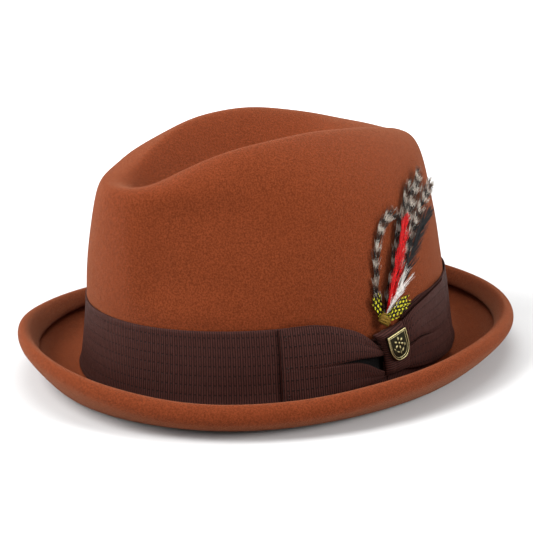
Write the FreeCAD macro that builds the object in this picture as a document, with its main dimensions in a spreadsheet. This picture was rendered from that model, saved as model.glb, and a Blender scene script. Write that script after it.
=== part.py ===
import FreeCAD
import Part
import math
import os
import Sketcher
from FreeCAD import Placement, Rotation, Vector

# A felt fedora with a teardrop crown, a stingy upturned brim with an inward overwelt, a
# ribbon band with a flat bow and a metal badge on the wearer's left, and a bunch of hackle
# feathers whose card tab slides in the pocket behind the bow's knot.
# Frame: +Z up, brim's underside on z = 0, front towards -Y, wearer's left towards +X.
# A place on the crown is given as (turn, height): turn 0 is the front, 90 the left side.

os.makedirs("parts", exist_ok=True)
doc = FreeCAD.newDocument("fedora")

# ---------------------------------------------------------------- driving dimensions
SIZES = [
    ("felt_thickness", 2.2, "felt of the crown and brim"),
    ("base_half_length", 102.1, "crown base, centre to front, on the felt"),
    ("base_half_width", 84.1, "crown base, centre to side, on the felt"),
    ("ridge_height", 123.2, "height of the crown's side ridges"),
    ("valley_height", 92.0, "floor of the teardrop crease"),
    ("rim_reach", 31.0, "crown base to the edge of the brim"),
    ("rim_height", 19.0, "height of the brim's edge at the sides"),
    ("welt_width", 9.1, "felt folded inwards over the brim's edge"),
    ("ribbon_top", 41.0, "height of the ribbon's top edge"),
    ("ribbon_bottom", 4.2, "height of the ribbon's bottom edge"),
    ("ribbon_thickness", 0.85, "grosgrain ribbon"),
    ("ribbon_gap", 0.15, "between the felt and the ribbon"),
    ("pocket_depth", 3.6, "felt to the back of the knot"),
    ("knot_front", 8.7, "felt to the front of the knot"),
    ("badge_width", 12.6, "shield badge"),
    ("badge_height", 14.2, "shield badge"),
    ("badge_thickness", 1.3, "shield badge"),
    ("badge_recess", 0.5, "depth of the shield's sunk field"),
    ("badge_border", 1.0, "width of the shield's raised border"),
    ("petal_radius", 0.95, "badge rosette"),
    ("petal_reach", 2.0, "badge rosette, centre to petal"),
    ("rosette_height", 0.55, "badge rosette"),
    ("pin_radius", 0.5, "badge pins"),
    ("pin_length", 4.2, "badge pins"),
    ("sweat_height", 36.0, "top edge of the leather sweatband"),
    ("sweat_thickness", 0.9, "leather sweatband"),
    ("sweat_gap", 0.8, "between the felt and the sweatband"),
    ("reed_radius", 1.2, "corded reed at the sweatband's foot"),
    ("stitch_radius", 0.25, "sweatband stitches"),
    ("stitch_length", 2.6, "sweatband stitches"),
    ("back_bow_width", 24.0, "little bow inside, at the back"),
    ("back_bow_height", 11.0, "little bow inside, at the back"),
    ("back_bow_thickness", 1.0, "little bow inside, at the back"),
    ("label_width", 20.0, "blank size label"),
    ("label_height", 11.0, "blank size label"),
    ("label_thickness", 0.4, "blank size label"),
    ("lining_gap", 1.6, "between the felt and the lining"),
    ("lining_thickness", 0.5, "satin lining"),
    ("tab_width", 8.0, "card tab that holds the feathers"),
    ("tab_height", 22.0, "card tab that holds the feathers"),
    ("tab_thickness", 1.0, "card tab that holds the feathers"),
    ("binding_radius", 2.4, "thread binding round the quills"),
    ("binding_length", 5.0, "thread binding round the quills"),
    ("feather_thickness", 0.5, "one hackle"),
    ("tack_radius", 0.45, "tacking stitches of the bow"),
]

sheet = doc.addObject("Spreadsheet::Sheet", "Sizes")
for line, (alias, value, what) in enumerate(SIZES, start=1):
    sheet.set(f"A{line}", alias)
    sheet.set(f"B{line}", str(value))
    sheet.set(f"C{line}", what)
    sheet.setAlias(f"B{line}", alias)
doc.recompute()


def size(alias):
    return float(sheet.get(alias))


FELT = size("felt_thickness")
A0 = size("base_half_length")
B0 = size("base_half_width")
RIDGE = size("ridge_height")
VALLEY = size("valley_height")

# ---------------------------------------------------------------- rings of control points
POINTS = 48
ROUND = 3.0 / (2.0 + math.cos(2 * math.pi / POINTS))
TURNS = [-math.pi + 2 * math.pi * i / POINTS for i in range(POINTS)]


def bell(turn, middle, width):
    d = (abs(math.degrees(turn)) - middle) / width
    return math.exp(-d * d)


def ring(front, back, half, z_side, z_front, z_back, pinch=0.0, at=40.0, lean=0.0, ease=0.0):
    """An oval ring: its reach to the front and back, its half width, its height at the
    sides, front and back, how far it is pinched in at a turn, how far it leans, and how
    much gentler the pinch is on the wearer's right."""
    middle = (front - back) / 2
    length = (front + back) / 2
    points = []
    for turn in TURNS:
        c = math.cos(turn)
        s = math.sin(turn)
        x = half * s * ROUND
        f = middle + length * c * ROUND
        nx = s / half
        nf = c / length
        scale = math.hypot(nx, nf)
        dent = (pinch - (ease if turn < 0 else 0.0)) * bell(turn, at, 22.0)
        x -= dent * nx / scale
        f -= dent * nf / scale
        z = z_side + (z_front - z_side) * max(c, 0) ** 2
        z += (z_back - z_side) * max(-c, 0) ** 2
        z += lean * s * (0.3 + 1.3 * bell(turn, 52.0, 30.0))
        points.append(Vector(x, -f, z))
    return points


# How the brim's edge waves above and below its height: cosine and sine of 1, 2 and 3 turns.
WAVE = [(1.45, 0.63), (2.06, -3.06), (1.72, -2.32)]


def brim_ring(reach, height):
    """A ring of the brim: its reach past the crown base and its height. The brim's edge
    curls higher at the front and on the wearer's back left, and lower between them."""
    points = ring(A0 + reach, A0 + reach, B0 + reach, height, height, height)
    k = min(max((reach - 14.5) / 15.5, 0.0), 1.0)
    for p, turn in zip(points, TURNS):
        for n, (a, b) in enumerate(WAVE, start=1):
            p.z += k * (a * math.cos(n * turn) + b * math.sin(n * turn))
    return points


CROWN = [
    ring(12, -8, 3, VALLEY, VALLEY, VALLEY),
    ring(34, 6, 8, 92, 91, 93),
    ring(56, 30, 17.7, 97.4, 92, 97.6),
    ring(73.5, 48.5, 27.3, RIDGE - 12.4, 93.2, 104, 1.9, 38.5, 0.4, 0.3),
    ring(80, 67, 35.3, RIDGE - 3.1, 98.6, 108, 4.1, 36, 0.2, 0.9),
    ring(86.5, 81.5, 40.2, RIDGE, 102.6, 105.5, 6.2, 36.5, 4.0, 2.4),
    ring(94.3, 87.2, 54.6, RIDGE - 10.2, 103.8, 103.5, 6.0, 42.5, 2.1, 4.1),
    ring(97, 88.3, 65.6, 99.3, 95.5, 96, 8.7, 48, 0.2, 1.9),
    ring(97.6, 89.9, 71, 84.1, 82, 82.5, 6.5, 52.5, 0.0, 0.6),
    ring(98.2, 92.8, 75, 68, 68, 68, 2.9, 54),
    ring(98.8, 94.8, 77, 54, 54, 54, 1.0, 54),
    ring(98.3, 97.2, 78.7, 40, 40, 40),
    ring(99.2, 98.7, 80.6, 24, 24, 24),
    ring(100.9, 100.6, 82.6, 10, 10, 10),
    ring(A0, A0, B0, 3.6, 3.6, 3.6),
]
FOOT = ring(A0 + 1.8, A0 + 1.8, B0 + 1.8, FELT, FELT, FELT)

RIM = size("rim_reach")
RIM_Z = size("rim_height")
WELT = size("welt_width")
CUT = RIM - WELT
BRIM_TOP = [(8, FELT), (13, FELT + 0.3), (17.0, 4.4), (20.2, 7.6), (CUT - 0.2, 9.6), (CUT + 0.4, 10.6)]
WELT_AND_UNDERSIDE = [
    (CUT + 0.4, 10.6),
    (CUT - 0.8, 11.8),
    (CUT - 0.3, 14.0),
    (23.4, 17.2),
    (26.2, RIM_Z + 1.4),
    (29.4, RIM_Z + 0.6),
    (31.3, RIM_Z - 2.2),
    (31.6, 13.0),
    (27.3, 8.2),
    (21.9, 3.9),
    (17.2, 0.9),
    (14.5, 0.0),
    (13.0, 0.0),
]


def shifted(rings, distance):
    """The rings moved along their own surface's outward normal."""
    moved = []
    for i, row in enumerate(rings):
        above = rings[max(i - 1, 0)]
        below = rings[min(i + 1, len(rings) - 1)]
        new = []
        for j, p in enumerate(row):
            down = below[j] - above[j]
            along = row[(j + 1) % POINTS] - row[j - 1]
            normal = down.cross(along)
            normal.normalize()
            new.append(p + normal * distance)
        moved.append(new)
    return moved


# ---------------------------------------------------------------- surfaces and solids
def ring_surface(rings):
    """A smooth surface, closed around, whose control rows are the rings."""
    rows = len(rings)
    degree = min(3, rows - 1)
    poles = [[rings[r][i] for r in range(rows)] for i in range(POINTS)]
    surface = Part.BSplineSurface()
    surface.buildFromPolesMultsKnots(
        poles,
        [1] * (POINTS + 1),
        [degree + 1] + [1] * (rows - degree - 1) + [degree + 1],
        [float(k) for k in range(POINTS + 1)],
        [float(k) for k in range(rows - degree + 1)],
        True,
        False,
        3,
        degree,
    )
    return surface


def end_wire(surface, last):
    _, _, v0, v1 = surface.bounds()
    return Part.Wire([surface.vIso(v1 if last else v0).toShape()])


def flat_face(*wires):
    return Part.makeFace(Part.Compound(list(wires)), "Part::FaceMakerBullseye")


def sealed(faces):
    """One solid from faces that meet edge to edge, its inside the right way round."""
    shell = Part.Shell(faces)
    if not shell.isClosed():
        joined = Part.Compound(faces)
        joined.sewShape(1e-3)
        shell = joined.Shells[0]
    solid = Part.Solid(shell)
    if solid.Volume < 0:
        solid.reverse()
    return solid


def tube(outer, inner):
    """The wall between two ring surfaces with the same ends."""
    out = ring_surface(outer)
    ins = ring_surface(inner)
    faces = [out.toShape(), ins.toShape()]
    for last in (False, True):
        a = end_wire(out, last).Edges[0]
        b = end_wire(ins, last).Edges[0]
        faces.append(Part.makeRuledSurface(a, b))
    return sealed(faces)


def slab(outer, inner):
    """The solid between two grids of points, each interpolated by a smooth surface."""
    tops = []
    for grid in (outer, inner):
        surface = Part.BSplineSurface()
        surface.interpolate(grid)
        tops.append(surface)
    u0, u1, v0, v1 = tops[0].bounds()
    p0, p1, q0, q1 = tops[1].bounds()
    faces = [s.toShape() for s in tops]
    for a, b in ((u0, p0), (u1, p1)):
        faces.append(Part.makeRuledSurface(tops[0].uIso(a).toShape(), tops[1].uIso(b).toShape()))
    for a, b in ((v0, q0), (v1, q1)):
        faces.append(Part.makeRuledSurface(tops[0].vIso(a).toShape(), tops[1].vIso(b).toShape()))
    return sealed(faces)


def feature(label, shape):
    part = doc.addObject("Part::Feature", label)
    part.Label = label
    part.Shape = shape
    part.Placement = Placement()
    return part


# ---------------------------------------------------------------- the felt
crown_surface = ring_surface(CROWN + [FOOT])
_, _, V_TIP, V_FOOT = crown_surface.bounds()


def on_wall(turn_deg, height, lift=0.0):
    """The point of the crown's wall at a turn and a height, lifted off the felt."""
    u = ((turn_deg + 180.0) / 360.0 * POINTS - 1.0) % POINTS
    low = V_FOOT - 0.2
    high = V_TIP + 5.4
    for _ in range(40):
        v = (low + high) / 2
        if crown_surface.value(u, v).z < height:
            low = v
        else:
            high = v
    normal = wall_normal(u, v)
    return crown_surface.value(u, v) + normal * lift


def wall_normal(u, v):
    step = 0.02
    around = crown_surface.value((u + step) % POINTS, v) - crown_surface.value((u - step) % POINTS, v)
    down = crown_surface.value(u, v + step) - crown_surface.value(u, v - step)
    normal = down.cross(around)
    normal.normalize()
    return normal


def frame_at(turn_deg, height, lift, spin=0.0):
    """A placement on the wall: local X runs towards the back, Y up the wall, Z outwards."""
    here = on_wall(turn_deg, height, lift)
    out = on_wall(turn_deg, height, lift + 1.0) - here
    up = on_wall(turn_deg, height + 0.5, lift) - on_wall(turn_deg, height - 0.5, lift)
    up.normalize()
    side = up.cross(out)
    side.normalize()
    turn = Rotation(side, up, out, "ZYX")
    return Placement(here, turn.multiply(Rotation(Vector(0, 0, 1), spin)))


felt_top = ring_surface(CROWN + [FOOT] + [brim_ring(*p) for p in BRIM_TOP])
felt_edge = ring_surface([brim_ring(*p) for p in WELT_AND_UNDERSIDE])
inner_rings = shifted(CROWN, -FELT)[:-1]
inner_rings[0] = ring(12, -8, 3, VALLEY - FELT, VALLEY - FELT, VALLEY - FELT)
inner_rings.append(ring(A0 - FELT, A0 - FELT, B0 - FELT, 3.6, 3.6, 3.6))
inner_rings.append(ring(A0 - FELT, A0 - FELT, B0 - FELT, 0, 0, 0))
felt_inside = ring_surface(inner_rings)
felt = sealed([
    felt_top.toShape(),
    felt_edge.toShape(),
    felt_inside.toShape(),
    flat_face(end_wire(felt_top, False)),
    flat_face(end_wire(felt_inside, False)),
    flat_face(end_wire(felt_edge, True), end_wire(felt_inside, True)),
])
feature("felt_body", felt)


# ---------------------------------------------------------------- ribbon band
def fitted(row):
    """Control points of a closed ring that passes through the points of the row."""
    count = len(row)
    return [p - (row[i - 1] + row[(i + 1) % count] - p * 2) * (1.0 / 6) for i, p in enumerate(row)]


def band_rows(bottom, top, lift, rows=5):
    """Rings up the wall from one height to another; each height may vary with the turn."""
    rings = []
    for r in range(rows):
        k = 1.0 - r / (rows - 1.0)
        row = []
        for turn in TURNS:
            deg = math.degrees(turn)
            height = bottom(deg) + (top(deg) - bottom(deg)) * k
            row.append(on_wall(deg, height, lift))
        rings.append(fitted(row))
    return rings


RIB_IN = size("ribbon_gap")
RIB_OUT = RIB_IN + size("ribbon_thickness")


def ribbon_top(deg):
    """The band is gathered under the bow, so its top edge dips there."""
    dip = math.exp(-(((deg - 90.0) / 14.0) ** 4))
    return size("ribbon_top") - 13.0 * dip


def ribbon_bottom(deg):
    return size("ribbon_bottom")


feature(
    "hatband_ribbon",
    tube(band_rows(ribbon_bottom, ribbon_top, RIB_OUT), band_rows(ribbon_bottom, ribbon_top, RIB_IN)),
)

# ---------------------------------------------------------------- bow
# Each station along a loop: turn, bottom height, top height, back lift, front lift.
FRONT_LOOP = [
    (59.5, 4.6, 41.0, 1.35, 2.5),
    (62.0, 4.6, 41.6, 1.45, 3.7),
    (66.0, 4.6, 42.2, 1.5, 4.5),
    (70.0, 4.8, 41.8, 1.6, 5.0),
    (74.0, 5.2, 40.9, 1.7, 5.4),
    (78.0, 6.2, 38.6, 1.7, 5.6),
    (81.5, 7.8, 35.4, 1.8, 5.7),
    (85.0, 9.4, 32.0, 2.0, 5.7),
    (88.4, 11.4, 29.4, 2.2, 5.4),
]
BACK_LOOP = [
    (99.6, 9.6, 34.4, 2.2, 5.4),
    (101.5, 9.2, 38.2, 2.0, 5.8),
    (104.5, 8.8, 40.4, 1.8, 5.9),
    (109.0, 8.0, 41.2, 1.7, 5.6),
    (115.0, 7.0, 41.4, 1.6, 4.9),
    (121.0, 6.2, 41.4, 1.5, 4.2),
    (125.0, 5.8, 41.4, 1.45, 3.6),
    (127.5, 5.8, 41.4, 1.35, 2.5),
]


def loop_solid(stations, pleat_at):
    """A folded loop of ribbon: full height at its free end, gathered where it meets the
    knot, with a pleat that runs into the knot."""
    outer = []
    inner = []
    rows = 9
    widest = max(s[2] - s[1] for s in stations)
    for turn, low, top, back, front in stations:
        gather = 1.0 - (top - low) / widest
        out_row = []
        in_row = []
        for r in range(rows):
            s = r / (rows - 1.0)
            height = low + (top - low) * s
            edge = abs(2 * s - 1) ** 3
            lift = front - (front - back - 0.9) * 0.55 * edge
            lift -= 3.0 * gather * math.exp(-(((s - pleat_at) / 0.13) ** 2))
            out_row.append(on_wall(turn, height, max(lift, back + 0.7)))
            in_row.append(on_wall(turn, height, back))
        outer.append(out_row)
        inner.append(in_row)
    return slab(outer, inner)


feature("bow_front_loop", loop_solid(FRONT_LOOP, 0.42))
feature("bow_back_loop", loop_solid(BACK_LOOP, 0.50))

KNOT_TURNS = [88.7, 89.6, 91.0, 92.8, 94.6, 96.6, 98.4, 99.3]
KNOT_LOW = 9.4
KNOT_TOP = 33.8
KNOT_MIDDLE = 94.0
KNOT_HALF = 5.3


def knot_solid():
    """The ribbon wound over the middle of the bow; the pocket is left open behind it."""
    front = size("knot_front")
    back = size("pocket_depth")
    outer = []
    inner = []
    rows = 9
    for turn in KNOT_TURNS:
        across = abs(turn - KNOT_MIDDLE) / KNOT_HALF
        crest = back + 2.4 + (front - back - 2.4) * (1.0 - across ** 4)
        out_row = []
        in_row = []
        for r in range(rows):
            s = r / (rows - 1.0)
            height = KNOT_LOW + (KNOT_TOP - KNOT_LOW) * s
            edge = abs(2 * s - 1) ** 5
            out_row.append(on_wall(turn, height, crest - (crest - back - 0.9) * 0.8 * edge))
            in_row.append(on_wall(turn, height, back))
        outer.append(out_row)
        inner.append(in_row)
    return slab(outer, inner)


feature("bow_knot", knot_solid())

# Tacking stitches hold the loops' free ends to the band.
TACKS = [(60.6, 8.0), (60.6, 22.0), (60.6, 36.0), (126.4, 9.0), (126.4, 22.0), (126.4, 36.0)]
tack_parts = []
for number, (turn, height) in enumerate(TACKS):
    tack = doc.addObject("Part::Cylinder", f"tack_{number}")
    tack.setExpression("Radius", "Sizes.tack_radius")
    tack.setExpression("Height", "Sizes.tack_radius * 4")
    tack.Placement = frame_at(turn, height, 2.6)
    tack_parts.append(tack)
tacks = doc.addObject("Part::Compound", "bow_tacks")
tacks.Label = "bow_tacks"
tacks.Links = tack_parts


# ---------------------------------------------------------------- PartDesign helpers
def new_body(label):
    body = doc.addObject("PartDesign::Body", label)
    body.Label = label
    return body


def origin_plane(body, role):
    for item in body.Origin.OriginFeatures:
        if item.Role == role:
            return item
    raise ValueError(role)


def new_sketch(body, name, role="XY_Plane", offset=0.0):
    sketch = body.newObject("Sketcher::SketchObject", name)
    sketch.AttachmentSupport = (origin_plane(body, role), [""])
    sketch.MapMode = "FlatFace"
    sketch.AttachmentOffset = Placement(Vector(0, 0, offset), Rotation())
    return sketch


def outline(sketch, points):
    """A closed outline of straight lines whose corners coincide."""
    count = len(points)
    for i in range(count):
        a = Vector(*points[i], 0)
        b = Vector(*points[(i + 1) % count], 0)
        sketch.addGeometry(Part.LineSegment(a, b), False)
    for i in range(count):
        sketch.addConstraint(Sketcher.Constraint("Coincident", i, 2, (i + 1) % count, 1))


def rectangle(sketch, width, height):
    """A centred rectangle bound to two aliases of the sheet."""
    x = size(width) / 2
    y = size(height) / 2
    outline(sketch, [(-x, -y), (x, -y), (x, y), (-x, y)])
    sketch.addConstraint(Sketcher.Constraint("Horizontal", 0))
    sketch.addConstraint(Sketcher.Constraint("Horizontal", 2))
    sketch.addConstraint(Sketcher.Constraint("Vertical", 1))
    sketch.addConstraint(Sketcher.Constraint("Vertical", 3))
    sketch.addConstraint(Sketcher.Constraint("Symmetric", 0, 1, 1, 2, -1, 1))
    wide = sketch.addConstraint(Sketcher.Constraint("DistanceX", 0, 1, 0, 2, 2 * x))
    sketch.setExpression(f"Constraints[{wide}]", f"Sizes.{width}")
    tall = sketch.addConstraint(Sketcher.Constraint("DistanceY", 1, 1, 1, 2, 2 * y))
    sketch.setExpression(f"Constraints[{tall}]", f"Sizes.{height}")


def circle(sketch, x, y, alias):
    index = sketch.addGeometry(Part.Circle(Vector(x, y, 0), Vector(0, 0, 1), size(alias)), False)
    radius = sketch.addConstraint(Sketcher.Constraint("Radius", index, size(alias)))
    sketch.setExpression(f"Constraints[{radius}]", f"Sizes.{alias}")
    return index


def pad(body, name, sketch, length):
    feature_pad = body.newObject("PartDesign::Pad", name)
    feature_pad.Profile = sketch
    feature_pad.setExpression("Length", length)
    return feature_pad


# ---------------------------------------------------------------- badge
BADGE_SPOT = (94.2, 24.6)
BADGE_SPIN = 8.0
BADGE_LIFT = size("knot_front") + 0.25


def shield_points(width, height, inset):
    """The outline of a shield with a flat top and a pointed foot."""
    half = width / 2 - inset
    top = height / 2 - inset
    foot = -height / 2 + inset * 1.25
    side = []
    steps = 7
    for i in range(steps):
        k = i / steps
        side.append((half * math.cos(k * math.pi / 2) ** 0.8, foot * math.sin(k * math.pi / 2) ** 1.15))
    right = [(half, top)] + [(x, y) for x, y in side]
    left = [(-x, y) for x, y in reversed(side)] + [(-half, top)]
    return right + [(0.0, foot)] + left


badge = new_body("badge_shield")
plate = new_sketch(badge, "shield_outline")
outline(plate, shield_points(size("badge_width"), size("badge_height"), 0.0))
pad(badge, "shield_plate", plate, "Sizes.badge_thickness")
doc.recompute()
field = new_sketch(badge, "shield_field", offset=size("badge_thickness"))
field.setExpression("AttachmentOffset.Base.z", "Sizes.badge_thickness")
outline(field, shield_points(size("badge_width"), size("badge_height"), size("badge_border")))
sunk = badge.newObject("PartDesign::Pocket", "shield_sunk_field")
sunk.Profile = field
sunk.setExpression("Length", "Sizes.badge_recess")
badge.Placement = frame_at(*BADGE_SPOT, BADGE_LIFT, BADGE_SPIN)

rosette = new_body("badge_rosette")
boss = new_sketch(rosette, "rosette_boss")
circle(boss, 0, 0, "petal_radius")
pad(rosette, "rosette_centre", boss, "Sizes.rosette_height * 1.3")
doc.recompute()
petal = new_sketch(rosette, "rosette_petal")
circle(petal, 0, size("petal_reach"), "petal_radius")
petal_pad = pad(rosette, "rosette_one_petal", petal, "Sizes.rosette_height")
doc.recompute()
petals = rosette.newObject("PartDesign::PolarPattern", "rosette_petals")
petals.Originals = [petal_pad]
petals.Axis = (petal, ["N_Axis"])
petals.Angle = 360
petals.Occurrences = 6
rosette.Tip = petals
FIELD_LIFT = BADGE_LIFT + size("badge_thickness") - size("badge_recess")
rosette.Placement = frame_at(BADGE_SPOT[0], BADGE_SPOT[1] + 0.9, FIELD_LIFT, BADGE_SPIN)

pin_parts = []
for number, height in enumerate((BADGE_SPOT[1] + 3.0, BADGE_SPOT[1] - 3.0)):
    pin = doc.addObject("Part::Cylinder", f"pin_{number}")
    pin.setExpression("Radius", "Sizes.pin_radius")
    pin.setExpression("Height", "Sizes.pin_length")
    pin.Placement = frame_at(BADGE_SPOT[0], height, BADGE_LIFT - size("pin_length"))
    pin_parts.append(pin)
pins = doc.addObject("Part::Compound", "badge_pins")
pins.Label = "badge_pins"
pins.Links = pin_parts

# ---------------------------------------------------------------- sweatband
SWEAT_OUT = -(FELT + size("sweat_gap"))
SWEAT_IN = SWEAT_OUT - size("sweat_thickness")
SWEAT_LOW = 4.6


def sweat_low(deg):
    return SWEAT_LOW


def sweat_top(deg):
    return size("sweat_height")


feature(
    "sweatband",
    tube(band_rows(sweat_low, sweat_top, SWEAT_OUT), band_rows(sweat_low, sweat_top, SWEAT_IN)),
)

reed = new_body("sweatband_reed")
reed_path = new_sketch(reed, "reed_path")
REED_IN = FELT + size("reed_radius") + 0.2
reed_a = A0 - REED_IN
reed_b = B0 - REED_IN
reed_path.addGeometry(Part.Ellipse(Vector(0, reed_a, 0), Vector(reed_b, 0, 0), Vector(0, 0, 0)), False)
reed_path.addConstraint(Sketcher.Constraint("Coincident", 0, 3, -1, 1))
reed_section = new_sketch(reed, "reed_section", "YZ_Plane")
circle(reed_section, reed_a, 0, "reed_radius")
doc.recompute()
reed_pipe = reed.newObject("PartDesign::AdditivePipe", "reed_pipe")
reed_pipe.Profile = reed_section
reed_pipe.Spine = (reed_path, ["Edge1"])
reed.Placement = Placement(Vector(0, 0, size("reed_radius") + 0.15), Rotation())

STITCHES = 120
stitch_parts = []
for number in range(STITCHES):
    turn = 360.0 * number / STITCHES
    spot = on_wall(turn, 5.0, SWEAT_IN - 0.3)
    ahead = on_wall(turn + 0.4, 5.0, SWEAT_IN - 0.3) - spot
    ahead.normalize()
    half = size("stitch_length") / 2
    stitch_parts.append(Part.makeCylinder(size("stitch_radius"), 2 * half, spot - ahead * half, ahead))
feature("sweatband_stitching", Part.Compound(stitch_parts))

back_bow = new_body("sweatband_bow")
bow_sketch = new_sketch(back_bow, "back_bow_outline")
bow_x = size("back_bow_width") / 2
bow_y = size("back_bow_height") / 2
outline(bow_sketch, [
    (-bow_x, -bow_y),
    (-2.0, -1.8),
    (2.0, -1.8),
    (bow_x, -bow_y),
    (bow_x - 1.2, 0.0),
    (bow_x, bow_y),
    (2.0, 1.8),
    (-2.0, 1.8),
    (-bow_x, bow_y),
    (-bow_x + 1.2, 0.0),
])
pad(back_bow, "back_bow_pad", bow_sketch, "Sizes.back_bow_thickness")
back_bow.Placement = frame_at(180.0, 22.0, SWEAT_IN - 1.5 - size("back_bow_thickness"))

label_body = new_body("size_label")
label_sketch = new_sketch(label_body, "label_outline")
rectangle(label_sketch, "label_width", "label_height")
pad(label_body, "label_pad", label_sketch, "Sizes.label_thickness")
label_body.Placement = frame_at(-150.0, 21.0, SWEAT_IN - 1.1 - size("label_thickness"))

# ---------------------------------------------------------------- lining
LINING_OUT = -(FELT + size("lining_gap"))
LINING_IN = LINING_OUT - size("lining_thickness")


def lining_rings(distance, first, last):
    return shifted(CROWN, distance)[first:last]


def closed_cap(outer, inner):
    """The wall between two ring surfaces, with flat lids across their first rings."""
    out = ring_surface(outer)
    ins = ring_surface(inner)
    foot = Part.makeRuledSurface(end_wire(out, True).Edges[0], end_wire(ins, True).Edges[0])
    lids = [flat_face(end_wire(s, False)) for s in (out, ins)]
    return sealed([out.toShape(), ins.toShape(), foot] + lids)


def level(rings, height):
    """The same rings with the first one brought flat."""
    flat = ring(12, -8, 3, height, height, height)
    return [flat] + rings[1:]


feature("lining_side", tube(lining_rings(LINING_OUT, 7, 12), lining_rings(LINING_IN, 7, 12)))
SEAM_GAP = 0.5
tip_out = [[p + Vector(0, 0, SEAM_GAP) for p in r] for r in lining_rings(LINING_OUT, 0, 8)]
tip_in = [[p + Vector(0, 0, SEAM_GAP) for p in r] for r in lining_rings(LINING_IN, 0, 8)]
feature(
    "lining_tip",
    closed_cap(level(tip_out, VALLEY + LINING_OUT), level(tip_in, VALLEY + LINING_IN)),
)

# ---------------------------------------------------------------- feathers
THICK = size("feather_thickness")
# Each hackle: its shaft as (turn, height) stations, its half widths and its lift.
HACKLES = {
    "grizzly_hackle_front": (
        [(91.9, 40.4), (91.6, 50.0), (92.4, 60.5), (95.0, 72.0), (103.4, 83.0)],
        [1.5, 2.5, 2.7, 2.6, 1.2],
        1.3,
    ),
    "grizzly_hackle_middle": (
        [(93.4, 40.4), (97.6, 55.0), (102.0, 69.0), (108.0, 81.5), (117.0, 93.6)],
        [1.5, 2.7, 3.2, 3.4, 1.4],
        2.0,
    ),
    "grizzly_hackle_top": (
        [(94.4, 41.6), (99.2, 55.0), (105.0, 69.6), (112.8, 84.0), (126.6, 98.4)],
        [1.5, 2.4, 3.0, 3.4, 1.4],
        2.7,
    ),
    "grizzly_hackle_back": (
        [(95.6, 42.6), (100.4, 55.0), (107.8, 69.4), (118.6, 81.8), (134.4, 89.4)],
        [1.5, 2.4, 2.8, 3.2, 1.4],
        3.4,
    ),
    "black_hackle": (
        [(94.4, 41.4), (98.0, 49.0), (103.6, 58.2), (111.6, 69.2), (124.0, 77.8)],
        [1.4, 2.4, 2.8, 2.6, 1.0],
        4.2,
    ),
    "red_hackle": (
        [(92.6, 40.6), (95.4, 49.4), (99.2, 60.4), (103.2, 71.4), (107.8, 83.4)],
        [1.6, 2.8, 3.2, 2.4, 1.0],
        5.0,
    ),
    "white_hackle": (
        [(93.4, 41.2), (95.6, 45.6), (98.2, 49.6), (101.4, 53.4), (105.4, 56.6)],
        [1.3, 2.2, 2.8, 2.4, 1.0],
        5.8,
    ),
    "guinea_feather_upper": (
        [(92.0, 38.4), (94.0, 39.6), (96.2, 41.0), (98.4, 42.4), (100.6, 43.6)],
        [2.6, 4.2, 4.8, 4.2, 1.8],
        6.9,
    ),
    "guinea_feather_lower": (
        [(91.0, 40.6), (90.8, 42.0), (90.7, 43.6), (90.6, 45.2), (90.6, 46.8)],
        [2.2, 3.0, 3.0, 2.4, 1.0],
        2.9,
    ),
}


def hackle_solid(shaft, widths, lift):
    """A slim leaf-shaped blade that follows the crown's wall."""
    outer = []
    inner = []
    count = len(shaft)
    for i, (turn, height) in enumerate(shaft):
        here = on_wall(turn, height, lift)
        before = on_wall(*shaft[max(i - 1, 0)], lift)
        after = on_wall(*shaft[min(i + 1, count - 1)], lift)
        along = after - before
        along.normalize()
        out = on_wall(turn, height, lift + 1.0) - here
        out.normalize()
        side = along.cross(out)
        side.normalize()
        out_row = []
        in_row = []
        for k in (-1.0, -0.4, 0.4, 1.0):
            p = here + side * (widths[i] * k)
            crest = THICK * (1.0 - 0.5 * k * k)
            out_row.append(p + out * crest)
            in_row.append(p)
        outer.append(out_row)
        inner.append(in_row)
    return slab(outer, inner)


for label, (shaft, widths, lift) in HACKLES.items():
    feature(label, hackle_solid(shaft, widths, lift))

tab = new_body("feather_tab")
tab_sketch = new_sketch(tab, "tab_outline")
rectangle(tab_sketch, "tab_width", "tab_height")
pad(tab, "tab_pad", tab_sketch, "Sizes.tab_thickness")
TAB_SPOT = (93.4, 20.6)
tab.Placement = frame_at(*TAB_SPOT, RIB_OUT + 0.85)

binding = new_body("quill_binding")
binding_sketch = new_sketch(binding, "binding_half", "XZ_Plane")
r_mid = size("binding_radius")
half_run = size("binding_length") / 2
outline(binding_sketch, [
    (0.0, -half_run),
    (r_mid * 0.72, -half_run),
    (r_mid, -half_run * 0.3),
    (r_mid, half_run * 0.3),
    (r_mid * 0.6, half_run),
    (0.0, half_run),
])
spun = binding.newObject("PartDesign::Revolution", "binding_barrel")
spun.Profile = binding_sketch
spun.ReferenceAxis = (binding_sketch, ["V_Axis"])
spun.Angle = 360
BINDING_SPOT = (92.4, 37.5)
upright = frame_at(*BINDING_SPOT, size("binding_radius") + 1.4)
binding.Placement = upright.multiply(Placement(Vector(0, 0, 0), Rotation(Vector(1, 0, 0), -90)))

doc.recompute()

# ---------------------------------------------------------------- checks and export
NODES = [
    "felt_body",
    "hatband_ribbon",
    "bow_front_loop",
    "bow_back_loop",
    "bow_knot",
    "bow_tacks",
    "badge_shield",
    "badge_rosette",
    "badge_pins",
    "sweatband",
    "sweatband_reed",
    "sweatband_stitching",
    "sweatband_bow",
    "size_label",
    "lining_side",
    "lining_tip",
    "feather_tab",
    "quill_binding",
] + list(HACKLES)

for item in doc.Objects:
    bad = [word for word in ("Invalid", "Error") if word in item.State]
    if bad:
        raise RuntimeError(f"{item.Label}: {bad}")

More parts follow.
